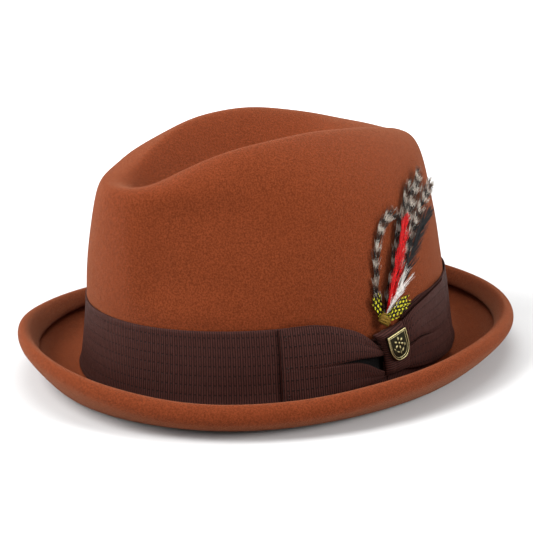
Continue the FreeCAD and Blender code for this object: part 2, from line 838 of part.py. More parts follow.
for node in NODES:
    shape = doc.getObjectsByLabel(node)[0].Shape
    if shape.isNull() or not shape.isValid() or shape.Volume <= 0:
        raise RuntimeError(f"{node}: its shape is not valid")
    shape.exportStep(f"parts/{node}.step")
    box = shape.BoundBox
    print(f"{node}: volume {shape.Volume:.0f} mm3, z {box.ZMin:.2f} to {box.ZMax:.2f}")
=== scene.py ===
import math

import bpy
import numpy as np
from mathutils import Matrix


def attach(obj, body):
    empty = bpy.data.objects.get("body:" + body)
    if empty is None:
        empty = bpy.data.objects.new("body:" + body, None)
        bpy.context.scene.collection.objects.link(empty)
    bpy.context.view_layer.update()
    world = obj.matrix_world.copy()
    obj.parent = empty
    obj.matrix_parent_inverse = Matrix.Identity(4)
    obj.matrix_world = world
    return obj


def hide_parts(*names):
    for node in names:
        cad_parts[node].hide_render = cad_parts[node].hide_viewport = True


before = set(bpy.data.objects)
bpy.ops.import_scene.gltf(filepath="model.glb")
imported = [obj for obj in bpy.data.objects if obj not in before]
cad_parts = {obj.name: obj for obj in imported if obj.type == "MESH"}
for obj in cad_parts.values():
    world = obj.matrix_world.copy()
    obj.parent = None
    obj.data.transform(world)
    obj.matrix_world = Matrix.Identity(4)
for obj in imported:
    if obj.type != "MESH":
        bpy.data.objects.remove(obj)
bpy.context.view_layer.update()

MM = 0.001
scene = bpy.context.scene
rng = np.random.default_rng(7)

# ---- the hat's measurements, mm
FELT = 2.2
A0 = 102.1
B0 = 84.1
RIDGE = 123.2
VALLEY = 92.0
RIBBON_TOP = 41.0
RIBBON_LOW = 3.9
RIBBON_LIFT = 0.6
CLOTH = 0.7
RIBBON_WIDE = 37.6
SIDE_HOLLOW = 3.5
POINTS = 48
FELT_TURNS = np.arange(-180.0, 180.0, 1.0)
ROUND = 3.0 / (2.0 + math.cos(2 * math.pi / POINTS))
TURNS = -math.pi + 2 * math.pi * np.arange(POINTS) / POINTS


def bell(turn, middle, width):
    return np.exp(-(((np.abs(np.degrees(turn)) - middle) / width) ** 2))


def ring(front, back, half, z_side, z_front, z_back, pinch=0.0, at=40.0, lean=0.0, ease=0.0):
    """Control points of an oval ring, as part.py makes them."""
    c, s = np.cos(TURNS), np.sin(TURNS)
    middle, length = (front - back) / 2, (front + back) / 2
    x = half * s * ROUND
    f = middle + length * c * ROUND
    nx, nf = s / half, c / length
    dent = (pinch - ease * (TURNS < 0)) * bell(TURNS, at, 22.0) / np.hypot(nx, nf)
    x, f = x - dent * nx, f - dent * nf
    z = z_side + (z_front - z_side) * np.maximum(c, 0) ** 2
    z = z + (z_back - z_side) * np.maximum(-c, 0) ** 2
    z = z + lean * s * (0.3 + 1.3 * bell(TURNS, 52.0, 30.0))
    return np.stack([x, -f, z], -1)


def level_ring(reach, height):
    """A ring at one height, so far outside the foot of the crown."""
    return ring(A0 + reach, A0 + reach, B0 + reach, height, height, height)


# The brim's rise and fall round the hat: cosine and sine of one, two and three waves.
WAVE = [(1.45, 0.63), (2.06, -3.06), (1.72, -2.32)]


def brim_ring(reach, height):
    points = level_ring(reach, height)
    k = min(max((reach - 14.5) / 15.5, 0.0), 1.0)
    for n, (a, b) in enumerate(WAVE, start=1):
        points[:, 2] += k * (a * np.cos(n * TURNS) + b * np.sin(n * TURNS))
    return points


CROWN = [
    ring(12, -8, 3, VALLEY, VALLEY, VALLEY),
    ring(34, 6, 8, 92, 91, 93),
    ring(56, 30, 17.7, 97.4, 92, 97.6),
    ring(73.5, 48.5, 27.3, RIDGE - 12.4, 93.2, 104, 1.9, 38.5, 0.4, 0.3),
    ring(80, 67, 35.3, RIDGE - 3.1, 98.6, 108, 4.1, 36, 0.2, 0.9),
    ring(86.5, 81.5, 40.2, RIDGE, 102.6, 105.5, 6.2, 36.5, 4.0, 2.4),
    ring(94.3, 87.2, 54.6, RIDGE - 10.2, 103.8, 103.5, 6.0, 42.5, 2.1, 4.1),
    ring(97, 88.3, 65.6, 99.3, 95.5, 96, 8.7, 48, 0.2, 1.9),
    ring(97.6, 89.9, 71, 84.1, 82, 82.5, 6.5, 52.5, 0.0, 0.6),
    ring(98.2, 92.8, 75, 68, 68, 68, 2.9, 54),
    ring(98.8, 94.8, 77, 54, 54, 54, 1.0, 54),
    ring(98.3, 97.2, 78.7, 40, 40, 40),
    ring(99.2, 98.7, 80.6, 24, 24, 24),
    ring(100.9, 100.6, 82.6, 10, 10, 10),
    level_ring(0.0, 3.6),
    level_ring(1.8, FELT),
]


# ---- spline surfaces
def row_weights(rows, at):
    """Weights of a clamped cubic B-spline's rows at parameters from 0 to rows - 3."""
    spans = rows - 3
    knots = np.concatenate([[0] * 3, np.arange(spans + 1), [spans] * 3]).astype(float)
    weights = np.zeros((len(at), rows + 3))
    span = np.clip(np.floor(at).astype(int), 0, spans - 1)
    weights[np.arange(len(at)), span + 3] = 1.0
    for degree in (1, 2, 3):
        new = np.zeros_like(weights)
        for i in range(rows + 3 - degree):
            wide = knots[i + degree] - knots[i]
            if wide > 0:
                new[:, i] += (at - knots[i]) / wide * weights[:, i]
            wide = knots[i + degree + 1] - knots[i + 1]
            if wide > 0:
                new[:, i] += (knots[i + degree + 1] - at) / wide * weights[:, i + 1]
        weights = new
    return weights[:, :rows]


def turn_weights(turns):
    """Weights of the periodic cubic B-spline round a ring, at turns in degrees."""
    u = (np.asarray(turns) + 180.0) / 360.0 * POINTS
    base = np.floor(u).astype(int)
    t = u - base
    weights = np.zeros((len(u), POINTS))
    parts = [(1 - t) ** 3, 3 * t**3 - 6 * t**2 + 4, -3 * t**3 + 3 * t**2 + 3 * t + 1, t**3]
    for k, part in enumerate(parts):
        np.add.at(weights, (np.arange(len(u)), (base - 1 + k) % POINTS), part / 6)
    return weights


def surface(rings, at, turns):
    """Points of the ring surface: one row per parameter, one column per turn."""
    net = np.array(rings)
    across = np.tensordot(row_weights(len(rings), np.asarray(at, float)), net, (1, 0))
    return np.einsum("cp,rpk->rck", turn_weights(turns), across)


# The crown's wall as a table over turn and height, so that trims can be laid on it.
WALL_TURNS = np.arange(-180.0, 180.01, 1.0)
WALL_HEIGHTS = np.arange(2.6, 108.01, 0.4)


def wall_table():
    dense = surface(CROWN, np.linspace(4.2, len(CROWN) - 3 - 0.05, 900), WALL_TURNS)
    table = np.zeros((len(WALL_HEIGHTS), len(WALL_TURNS), 3))
    for c in range(len(WALL_TURNS)):
        z = dense[::-1, c, 2]
        for k in range(2):
            table[:, c, k] = np.interp(WALL_HEIGHTS, z, dense[::-1, c, k])
        table[:, c, 2] = WALL_HEIGHTS
    return table


TABLE = wall_table()


def table_point(turn, height):
    turn = (np.asarray(turn, float) + 180.0) % 360.0
    height = np.clip((np.asarray(height, float) - WALL_HEIGHTS[0]) / 0.4, 0, len(WALL_HEIGHTS) - 1.001)
    turn, height = np.broadcast_arrays(turn, height)
    i, j = height.astype(int), np.minimum(turn.astype(int), 359)
    fi, fj = (height - i)[..., None], (turn - j)[..., None]
    low = TABLE[i, j] * (1 - fj) + TABLE[i, j + 1] * fj
    high = TABLE[i + 1, j] * (1 - fj) + TABLE[i + 1, j + 1] * fj
    return low * (1 - fi) + high * fi


def pairs(*parts):
    """Arrays broadcast together and stacked as the last axis."""
    return np.stack(np.broadcast_arrays(*parts), -1)


def unit(v):
    return v / np.maximum(np.linalg.norm(v, axis=-1, keepdims=True), 1e-12)


def on_wall(turn, height, lift=0.0):
    """Points on the crown's wall, in mm, lifted off the felt along its normal."""
    along = table_point(np.asarray(turn) + 1.5, height) - table_point(np.asarray(turn) - 1.5, height)
    up = table_point(turn, np.asarray(height) + 1.2) - table_point(turn, np.asarray(height) - 1.2)
    out = unit(np.cross(along, up))
    return table_point(turn, height) + out * np.asarray(lift, float)[..., None]


def wall_out(turn, height):
    return on_wall(turn, height, np.ones(np.shape(turn))) - on_wall(turn, height, np.zeros(np.shape(turn)))


def curve(xs, ys, at):
    """A smooth curve through points, with no overshoot to speak of."""
    xs, ys, at = np.asarray(xs, float), np.asarray(ys, float), np.asarray(at, float)
    slope = np.gradient(ys, xs)
    i = np.clip(np.searchsorted(xs, at) - 1, 0, len(xs) - 2)
    wide = xs[i + 1] - xs[i]
    t = np.clip((at - xs[i]) / wide, 0, 1)
    a = (2 * t**3 - 3 * t**2 + 1) * ys[i] + (t**3 - 2 * t**2 + t) * wide * slope[i]
    return a + (-2 * t**3 + 3 * t**2) * ys[i + 1] + (t**3 - t**2) * wide * slope[i + 1]


def bump(x, middle, width):
    return np.exp(-(((x - middle) / width) ** 2))


# ---- meshes
def make_object(name, points, faces, uv=None):
    """An object from points in mm; uv holds one pair in mm for each point."""
    mesh = bpy.data.meshes.new(name)
    mesh.from_pydata((np.asarray(points) * MM).tolist(), [], [tuple(f) for f in faces])
    if uv is not None:
        layer = mesh.uv_layers.new(name="UVMap")
        index = np.zeros(len(mesh.loops), int)
        mesh.loops.foreach_get("vertex_index", index)
        layer.data.foreach_set("uv", np.asarray(uv, np.float32)[index].ravel())
    mesh.polygons.foreach_set("use_smooth", [True] * len(mesh.polygons))
    mesh.validate()
    mesh.update()
    obj = bpy.data.objects.new(name, mesh)
    scene.collection.objects.link(obj)
    return obj


def grid_faces(rows, cols, around=False, offset=0, flip=False):
    faces = []
    for r in range(rows - 1):
        for c in range(cols if around else cols - 1):
            d = (c + 1) % cols
            f = [r * cols + c, r * cols + d, (r + 1) * cols + d, (r + 1) * cols + c]
            f = [offset + k for k in f]
            faces.append(f[::-1] if flip else f)
    return faces


def grid_normals(grid, around=False):
    if around:
        along = np.roll(grid, -1, 1) - np.roll(grid, 1, 1)
    else:
        along = np.gradient(grid, axis=1)
    return unit(np.cross(along, np.gradient(grid, axis=0)))


def cloth(name, centre, thickness, uv, flip=False):
    """A sheet with thickness from a grid of its middle surface, its rims closed by a strip of faces."""
    rows, cols = centre.shape[:2]
    out = grid_normals(centre) * (thickness / 2)
    points = np.concatenate([(centre + out).reshape(-1, 3), (centre - out).reshape(-1, 3)])
    faces = grid_faces(rows, cols) + grid_faces(rows, cols, offset=rows * cols, flip=True)
    rim = [(0, c) for c in range(cols)] + [(r, cols - 1) for r in range(1, rows)]
    rim += [(rows - 1, c) for c in range(cols - 2, -1, -1)] + [(r, 0) for r in range(rows - 2, 0, -1)]
    ids = [r * cols + c for r, c in rim]
    for k, a in enumerate(ids):
        b = ids[(k + 1) % len(ids)]
        faces.append([b, a, a + rows * cols, b + rows * cols])
    if flip:
        faces = [f[::-1] for f in faces]
    both = np.concatenate([uv.reshape(-1, 2)] * 2)
    return make_object(name, points, faces, both)


def arc_length(points):
    return np.concatenate([[0], np.cumsum(np.linalg.norm(np.diff(points, axis=0), axis=1))])


def tube_mesh(paths, radii, sides):
    """Points and faces of round tubes; each path is (n, 3), each radius a number or (n,)."""
    points, faces = [], []
    for path, radius in zip(paths, radii):
        path = np.asarray(path, float)
        n = len(path)
        ahead = unit(np.gradient(path, axis=0))
        seed = np.array([0.0, 0.0, 1.0]) if abs(ahead[0][2]) < 0.9 else np.array([1.0, 0.0, 0.0])
        side = unit(np.cross(ahead, seed))
        up = np.cross(side, ahead)
        angle = 2 * np.pi * np.arange(sides) / sides
        r = np.broadcast_to(np.asarray(radius, float), (n,))[:, None, None]
        circle = np.cos(angle)[None, :, None] * side[:, None] + np.sin(angle)[None, :, None] * up[:, None]
        base = len(points)
        points.extend((path[:, None] + circle * r).reshape(-1, 3))
        faces += grid_faces(n, sides, True, base)
        faces.append([base + k for k in range(sides)][::-1])
        faces.append([base + (n - 1) * sides + k for k in range(sides)])
    return np.array(points), faces


# ---- material nodes
class Tree:
    """A short way to write node trees. A value may be a number, a colour or a socket."""

    def __init__(self, name):
        self.material = bpy.data.materials.new(name)
        self.material.use_nodes = True
        self.nodes = self.material.node_tree.nodes
        self.links = self.material.node_tree.links
        self.nodes.clear()
        self.out = self.nodes.new("ShaderNodeOutputMaterial")
        self.shader = self.nodes.new("ShaderNodeBsdfPrincipled")
        self.links.new(self.shader.outputs["BSDF"], self.out.inputs["Surface"])

    def put(self, socket, value):
        if isinstance(value, bpy.types.NodeSocket):
            self.links.new(value, socket)
        elif hasattr(value, "__len__") and len(value) == 3 and len(socket.default_value) == 4:
            socket.default_value = (*value, 1.0)
        else:
            socket.default_value = value

    def node(self, kind, inputs=None, **settings):
        new = self.nodes.new(kind)
        for key, value in settings.items():
            setattr(new, key, value)
        for key, value in (inputs or {}).items():
            self.put(new.inputs[key], value)
        return new

    def math(self, operation, a, b=0.0, c=0.0):
        new = self.node("ShaderNodeMath", operation=operation)
        for k, value in enumerate((a, b, c)):
            self.put(new.inputs[k], value)
        return new.outputs[0]

    def add(self, a, b):
        return self.math("ADD", a, b)

    def sub(self, a, b):
        return self.math("SUBTRACT", a, b)

    def mul(self, a, b):
        return self.math("MULTIPLY", a, b)

    def div(self, a, b):
        return self.math("DIVIDE", a, b)

    def sine(self, a, period):
        """A sine wave along a, of this period."""
        return self.math("SINE", self.mul(a, 2 * math.pi / period))

    def place(self, scale=(1000.0, 1000.0, 1000.0)):
        """The point on the object, in millimetres unless another scale is given."""
        at = self.node("ShaderNodeTexCoord").outputs["Object"]
        return self.node("ShaderNodeMapping", {"Vector": at, "Scale": scale}).outputs[0]

    def uv(self):
        at = self.node("ShaderNodeUVMap", uv_map="UVMap").outputs[0]
        split = self.node("ShaderNodeSeparateXYZ", {"Vector": at})
        return split.outputs[0], split.outputs[1]

    def noise(self, at, scale, detail=2.0, rough=0.5):
        settings = {"Vector": at, "Scale": scale, "Detail": detail, "Roughness": rough}
        return self.node("ShaderNodeTexNoise", settings).outputs["Fac"]

    def mix(self, factor, a, b):
        new = self.node("ShaderNodeMix", data_type="RGBA")
        for socket, value in ((0, factor), (6, a), (7, b)):
            self.put(new.inputs[socket], value)
        return new.outputs[2]

    def band(self, value, low, high, out_low=0.0, out_high=1.0):
        keys = {"Value": value, "From Min": low, "From Max": high, "To Min": out_low, "To Max": out_high}
        return self.node("ShaderNodeMapRange", keys, interpolation_type="SMOOTHSTEP").outputs[0]

    def bump(self, height, strength, distance, normal=None):
        inputs = {"Height": height, "Strength": strength, "Distance": distance}
        if normal is not None:
            inputs["Normal"] = normal
        return self.node("ShaderNodeBump", inputs).outputs[0]

    def done(self, **inputs):
        for key, value in inputs.items():
            self.put(self.shader.inputs[key.replace("_", " ")], value)
        return self.material


def felt_material():
    """Brushed wool felt: matted fibres under a short nap."""
    t = Tree("wool_felt")
    at = t.place()
    speck = t.noise(at, 1.2, 4.0, 0.65)
    matt = t.noise(at, 0.28, 3.0, 0.6)
    cloud = t.noise(at, 0.035, 2.0, 0.5)
    warp = t.node("ShaderNodeTexNoise", {"Vector": at, "Scale": 0.6, "Detail": 2.0}).outputs["Color"]
    bent = t.node("ShaderNodeMix", {0: 0.35}, data_type="VECTOR")
    t.put(bent.inputs[4], at)
    t.put(bent.inputs[5], warp)
    fibre = t.node("ShaderNodeTexWave", {"Vector": at, "Scale": 0.9, "Distortion": 14.0, "Detail": 3.0,
                                         "Detail Scale": 2.2, "Detail Roughness": 0.7}).outputs["Fac"]
    colour = t.mix(t.band(speck, 0.35, 0.65), (0.087, 0.0158, 0.0038), (0.164, 0.0330, 0.0095))
    colour = t.mix(t.band(matt, 0.35, 0.70, 0.0, 0.14), colour, (0.066, 0.0105, 0.0024))
    colour = t.mix(t.band(fibre, 0.55, 1.0, 0.0, 0.22), colour, (0.195, 0.046, 0.0150))
    colour = t.mix(t.band(cloud, 0.30, 0.70, 0.0, 0.16), colour, (0.142, 0.0262, 0.0068))
    rough = t.bump(t.noise(at, 0.5, 5.0, 0.7), 0.55, 0.0006)
    fine = t.bump(t.noise(at, 2.0, 4.0, 0.75), 0.8, 0.00032, rough)
    return t.done(Base_Color=colour, Roughness=0.95, Normal=fine, Sheen_Weight=0.17,
                  Sheen_Roughness=0.42, Sheen_Tint=(1.0, 0.56, 0.34), Specular_IOR_Level=0.07)


def grosgrain_material(name, dashes=True, period=1.15):
    """Ribbed ribbon. u runs along the ribbon and v across it, both in mm."""
    t = Tree(name)
    at = t.place()
    u, v = t.uv()
    wander = t.mul(t.sub(t.noise(at, 0.08, 2.0), 0.5), 0.5)
    u = t.add(u, wander)
    rib = t.math("ABSOLUTE", t.math("SINE", t.mul(u, math.pi / period)))
    thread = t.sine(v, 0.42)
    worn = t.noise(at, 0.5, 3.0, 0.6)
    grain = t.noise(at, 2.6, 3.0, 0.7)
    # Painted shade: the grooves between the ribs are coloured near black against the rib crests, as the shade
    # that lies in them.
    colour = t.mix(t.band(rib, 0.30, 0.95), (0.0030, 0.0008, 0.0006), (0.0500, 0.0138, 0.0100))
    colour = t.mix(t.band(grain, 0.35, 0.75, 0.0, 0.42), colour, (0.060, 0.0195, 0.0145))
    colour = t.mix(t.band(worn, 0.35, 0.72, 0.0, 0.22), colour, (0.0100, 0.0028, 0.0021))
    height = t.add(t.mul(rib, 0.8), t.mul(thread, 0.08))
    if dashes:
        row = t.math("ABSOLUTE", t.sub(t.math("FRACT", t.div(v, 4.62)), 0.5))
        on_row = t.band(row, 0.05, 0.10, 1.0, 0.0)
        gap = t.math("SINE", t.mul(u, math.pi / period))
        dash = t.mul(on_row, t.band(gap, -0.25, 0.25))
        colour = t.mix(t.mul(dash, 0.62), colour, (0.0026, 0.0008, 0.0006))
        height = t.sub(height, t.mul(dash, 0.7))
    # Painted shade: where the hollow attribute is set, deep in the tuck of the bow's loops, the ribbon is
    # coloured almost black.
    hollow = t.node("ShaderNodeAttribute", attribute_name="hollow").outputs["Fac"]
    colour = t.mix(t.band(hollow, 0.15, 0.75), colour, (0.0006, 0.0002, 0.00015))
    normal = t.bump(height, 0.85, 0.00028, t.bump(grain, 0.35, 0.00010))
    return t.done(Base_Color=colour, Roughness=t.band(worn, 0.2, 0.8, 0.55, 0.72), Normal=normal,
                  Sheen_Weight=0.035, Sheen_Roughness=0.35, Sheen_Tint=(1.0, 0.62, 0.52),
                  Specular_IOR_Level=0.10)


def thread_material(name, dark, light):
    t = Tree(name)
    at = t.place()
    twist = t.node("ShaderNodeTexWave", {"Vector": at, "Scale": 1.6, "Distortion": 2.0, "Detail": 2.0},
                   bands_direction="DIAGONAL").outputs["Fac"]
    colour = t.mix(twist, dark, light)
    colour = t.mix(t.band(t.noise(at, 3.0), 0.4, 0.7, 0.0, 0.3), colour, light)
    return t.done(Base_Color=colour, Roughness=0.7, Normal=t.bump(twist, 0.6, 0.0002), Specular_IOR_Level=0.2)


def brass_material():
    """Antique brass: bright on the rims, dark patina in the hollows."""
    t = Tree("antique_brass")
    at = t.place()
    edge = t.band(t.node("ShaderNodeNewGeometry").outputs["Pointiness"], 0.47, 0.56)
    stain = t.noise(at, 0.7, 4.0, 0.6)
    pit = t.noise(at, 4.0, 3.0, 0.7)
    u, v = t.uv()
    dark = t.mix(stain, (0.0040, 0.0034, 0.0016), (0.016, 0.0135, 0.0055))
    bright = t.mix(stain, (0.34, 0.285, 0.125), (0.60, 0.52, 0.27))
    high = t.math("MAXIMUM", t.band(v, 0.24, 0.90), t.mul(edge, t.mul(v, 0.4)))
    colour = t.mix(high, dark, bright)
    colour = t.mix(t.band(pit, 0.55, 0.75, 0.0, 0.4), colour, (0.012, 0.010, 0.005))
    return t.done(Base_Color=colour, Metallic=0.9, Roughness=t.band(stain, 0.2, 0.8, 0.30, 0.52),
                  Normal=t.bump(pit, 0.35, 0.00015))


def leather_material():
    t = Tree("sweat_leather")
    at = t.place()
    cells = t.node("ShaderNodeTexVoronoi", {"Vector": at, "Scale": 0.75}, feature="DISTANCE_TO_EDGE")
    grain = t.band(cells.outputs["Distance"], 0.0, 0.22)
    cloud = t.noise(at, 0.06, 3.0, 0.6)
    crease = t.noise(at, 0.9, 4.0, 0.6)
    colour = t.mix(cloud, (0.034, 0.0125, 0.0064), (0.070, 0.028, 0.0145))
    colour = t.mix(t.mul(t.sub(1.0, grain), 0.5), colour, (0.0150, 0.0056, 0.0032))
    normal = t.bump(grain, 0.35, 0.00018, t.bump(crease, 0.25, 0.0003))
    return t.done(Base_Color=colour, Roughness=t.band(crease, 0.3, 0.7, 0.38, 0.55), Normal=normal,
                  Coat_Weight=0.12, Coat_Roughness=0.35)


def satin_material():
    t = Tree("lining_satin")
    at = t.place()
    u, v = t.uv()
    thread = t.sine(u, 0.5)
    weft = t.sine(v, 0.8)
    slub = t.noise(t.place((300.0, 300.0, 4000.0)), 1.0, 3.0, 0.6)
    cloud = t.noise(at, 0.04, 3.0, 0.6)
    colour = t.mix(cloud, (0.037, 0.012, 0.0085), (0.078, 0.028, 0.020))
    colour = t.mix(t.band(slub, 0.4, 0.7, 0.0, 0.3), colour, (0.105, 0.045, 0.033))
    height = t.add(t.mul(thread, 0.5), t.mul(weft, 0.3))
    return t.done(Base_Color=colour, Roughness=0.42, Normal=t.bump(height, 0.15, 0.00008),
                  Sheen_Weight=0.06, Anisotropic=0.5, Specular_IOR_Level=0.35)


def plain_weave_material(name, dark, light, pitch=0.7):
    t = Tree(name)
    at = t.place()
    split = t.node("ShaderNodeSeparateXYZ", {"Vector": at})
    waves = [t.sine(split.outputs[k], pitch) for k in range(3)]
    weave = t.mul(t.add(waves[0], waves[1]), waves[2])
    tone = t.noise(at, 0.4, 3.0)
    colour = t.mix(t.band(weave, -1.0, 1.0), dark, light)
    colour = t.mix(t.band(tone, 0.4, 0.7, 0.0, 0.3), colour, dark)
    return t.done(Base_Color=colour, Roughness=0.8, Normal=t.bump(weave, 0.3, 0.0001), Sheen_Weight=0.2)


def card_material():
    t = Tree("stiff_card")
    at = t.place()
    fibre = t.noise(t.place((1000.0, 1000.0, 300.0)), 1.2, 4.0, 0.7)
    colour = t.mix(fibre, (0.060, 0.045, 0.030), (0.155, 0.120, 0.082))
    colour = t.mix(t.band(t.noise(at, 0.15, 2.0), 0.4, 0.7, 0.0, 0.3), colour, (0.05, 0.036, 0.024))
    return t.done(Base_Color=colour, Roughness=0.88, Normal=t.bump(fibre, 0.3, 0.0001))


def feather_material(name, dark, light, bars=None, tint=None, jag=0.35, sheen=0.3):
    """A hackle's barbs. u is the place along the quill and v across it, both in mm. bars is
    the pitch of its bars and how much of each is light, or nothing for a plain feather."""
    t = Tree(name)
    at = t.place()
    u, v = t.uv()
    fray = t.noise(t.place(), 0.9, 3.0, 0.6)
    fine = t.noise(at, 5.0, 2.0, 0.6)
    if bars:
        pitch, share = bars
        slant = t.mul(t.math("ABSOLUTE", v), jag)
        place = t.add(t.sub(u, slant), t.mul(fray, pitch * 0.9))
        wave = t.math("ABSOLUTE", t.sub(t.math("FRACT", t.div(place, pitch)), 0.5))
        pick = t.band(wave, share * 0.5 - 0.07, share * 0.5 + 0.07, 1.0, 0.0)
    else:
        pick = t.band(fray, 0.30, 0.75)
    colour = t.mix(pick, dark, light)
    if tint is not None:
        colour = t.mix(t.band(t.noise(at, 0.22, 2.0), 0.42, 0.66, 0.0, 0.6), colour, tint)
    colour = t.mix(t.band(fine, 0.4, 0.8, 0.0, 0.25), colour, dark)
    return t.done(Base_Color=colour, Roughness=0.5, Normal=t.bump(fine, 0.3, 0.0001), Sheen_Weight=sheen,
                  Sheen_Roughness=0.3, Specular_IOR_Level=0.16)


def guinea_material():
    """Blackish vane with rows of round yellow dots."""
    t = Tree("guinea_feather")
    at = t.place()
    u, v = t.uv()
    pitch_u, pitch_v = 2.2, 2.0
    row = t.math("FLOOR", t.div(u, pitch_u))
    shift = t.mul(t.math("MODULO", row, 2.0), 0.5)
    cu = t.sub(t.math("FRACT", t.div(u, pitch_u)), 0.5)
    cv = t.sub(t.math("FRACT", t.add(t.div(v, pitch_v), shift)), 0.5)
    wobble = t.mul(t.sub(t.noise(at, 0.8, 2.0), 0.5), 0.30)
    far = t.math("SQRT", t.add(t.mul(cu, cu), t.mul(cv, cv)))
    dot = t.band(t.add(far, wobble), 0.23, 0.33, 1.0, 0.0)
    yellow = t.mix(t.noise(at, 0.5), (0.38, 0.33, 0.006), (0.70, 0.66, 0.030))
    colour = t.mix(dot, (0.0045, 0.0032, 0.0014), yellow)
    return t.done(Base_Color=colour, Roughness=0.55, Normal=t.bump(t.noise(at, 4.0), 0.3, 0.0001),
                  Specular_IOR_Level=0.12)


FELT_LOOK = felt_material()
RIBBON = grosgrain_material("grosgrain")
RIBBON_PLAIN = grosgrain_material("grosgrain_plain", dashes=False)
BROWN_THREAD = thread_material("brown_thread", (0.010, 0.004, 0.003), (0.034, 0.012, 0.009))
TAN_THREAD = thread_material("tan_thread", (0.16, 0.10, 0.053), (0.33, 0.23, 0.13))
GOLD_THREAD = thread_material("gold_thread", (0.045, 0.021, 0.0020), (0.260, 0.150, 0.0140))
BRASS = brass_material()
LEATHER = leather_material()
SATIN = satin_material()
REED_CLOTH = plain_weave_material("reed_cloth", (0.032, 0.013, 0.008), (0.085, 0.038, 0.025))
LABEL_CLOTH = plain_weave_material("label_cloth", (0.31, 0.285, 0.235), (0.48, 0.45, 0.39), 0.5)
CARD = card_material()
GRIZZLY = feather_material("grizzly_barbs", (0.0035, 0.0022, 0.0016), (0.40, 0.35, 0.295), (8.2, 0.38),
                           (0.070, 0.024, 0.009), sheen=0.02)
BLACK = feather_material("black_barbs", (0.0012, 0.0014, 0.0016), (0.0090, 0.0105, 0.0110), sheen=0.02)
RED = feather_material("red_barbs", (0.260, 0.0008, 0.0012), (0.72, 0.0045, 0.0055), sheen=0.0)
WHITE = feather_material("white_barbs", (0.38, 0.33, 0.30), (0.74, 0.71, 0.68), sheen=0.02)
GUINEA = guinea_material()


def paint_cad(name, material):
    """Gives a CAD object that shows as it is a material of its own."""
    for holder in bpy.data.objects[name].material_slots:
        holder.material = material


def dress(obj, material, body, nodes=()):
    obj.data.materials.clear()
    obj.data.materials.append(material)
    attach(obj, body)
    if nodes:
        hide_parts(*nodes)
    return obj


# ---- the felt
def felt_rows(sections):
    """Rows of the felt's surface from (rings, number of samples) sections."""
    rows = []
    for rings, samples in sections:
        part = surface(rings, np.linspace(0, len(rings) - 3, samples), FELT_TURNS)
        rows.append(part if not rows else part[1:])
    return np.concatenate(rows)


def shifted(rings, distance):
    net = np.array(rings)
    down = np.gradient(net, axis=0)
    along = np.roll(net, -1, 1) - np.roll(net, 1, 1)
    return list(net + unit(np.cross(down, along)) * distance)


def step(x):
    x = np.clip(x, 0, 1)
    return x * x * (3 - 2 * x)


def sink_side(rows, turns):
    """Sinks the hollow that fingers leave beside the front pinch, on the wearer's left."""
    z, flat = rows[..., 2], rows[..., :2]
    far = np.linalg.norm(flat, axis=-1)
    across = step((turns - 9.0) / 16.0) * (1 - step((turns - 28.0) / 42.0))
    window = step((z - 44.0) / 20.0) * (1 - step((z - 90.0) / 15.0)) * step((far - 60.0) / 14.0)
    depth = SIDE_HOLLOW * across[None] * window
    out = rows.copy()
    out[..., :2] = flat - flat / np.maximum(far, 1.0)[..., None] * depth[..., None]
    return out


def build_felt():
    """One sheet of felt: crown and brim, folded in over the brim's edge as an overwelt that
    lies on the brim with a narrow gap under its cut edge."""
    top = CROWN + [brim_ring(*p) for p in (
        (8.0, FELT), (13.0, FELT + 0.3), (17.0, 4.4), (20.2, 7.6), (22.6, 10.2), (24.4, 12.4))]
    fold = [brim_ring(*p) for p in (
        (24.4, 12.4), (25.0, 13.3), (24.2, 13.5), (22.9, 12.4), (21.9, 11.5), (21.1, 11.6),
        (20.9, 12.6), (21.4, 14.2), (23.2, 17.2), (26.0, 20.4), (29.4, 19.6), (31.3, 16.8),
        (31.6, 13.0), (27.3, 8.2), (21.9, 3.9), (17.2, 0.9), (14.5, 0.0), (10.0, 0.0),
        (5.0, 0.0), (1.0, 0.0), (-FELT + 0.4, 0.0))]
    inside = shifted(CROWN[:-2], -FELT)
    inside[0] = ring(12, -8, 3, VALLEY - FELT, VALLEY - FELT, VALLEY - FELT)
    inside += [level_ring(-FELT, 3.6), level_ring(-FELT, 0.6), level_ring(-FELT + 0.4, 0.0)]
    rows = felt_rows([(top, 190), (fold, 130), (inside[::-1], 110)])
    rows = sink_side(rows, FELT_TURNS)
    n = grid_normals(rows, True)
    t = np.radians(FELT_TURNS)[None, :]
    s = np.arange(len(rows))[:, None]
    wave = 0.16 * np.sin(3 * t + 0.06 * s) + 0.12 * np.sin(7 * t - 0.045 * s + 1.0)
    wave = wave + 0.08 * np.sin(13 * t + 0.1 * s)
    fade = np.clip((np.abs(rows[..., 2] - 1.6) - 0.8) / 3.0, 0, 1)
    rows = rows + n * (wave * fade)[..., None]
    rows[..., 2] = np.maximum(rows[..., 2], 0.0)
    count, cols = rows.shape[:2]
    points = list(rows.reshape(-1, 3))
    faces = grid_faces(count, cols, True)
    for r, flip in ((0, False), (count - 1, True)):
        points.append(rows[r].mean(0))
        hub = len(points) - 1
        for c in range(cols):
            d = (c + 1) % cols
            f = [hub, r * cols + d, r * cols + c]
            faces.append(f[::-1] if flip else f)
    return make_object("felt", np.array(points), faces)


felt = dress(build_felt(), FELT_LOOK, "hat", ["felt_body"])


# ---- ribbon band
BAND_START = 92.0
BAND_SWEEP = 359.9


def band_top(turn):
    dip = np.exp(-((((turn % 360.0) - 90.0) / 14.0) ** 4))
    return RIBBON_TOP - 13.0 * dip


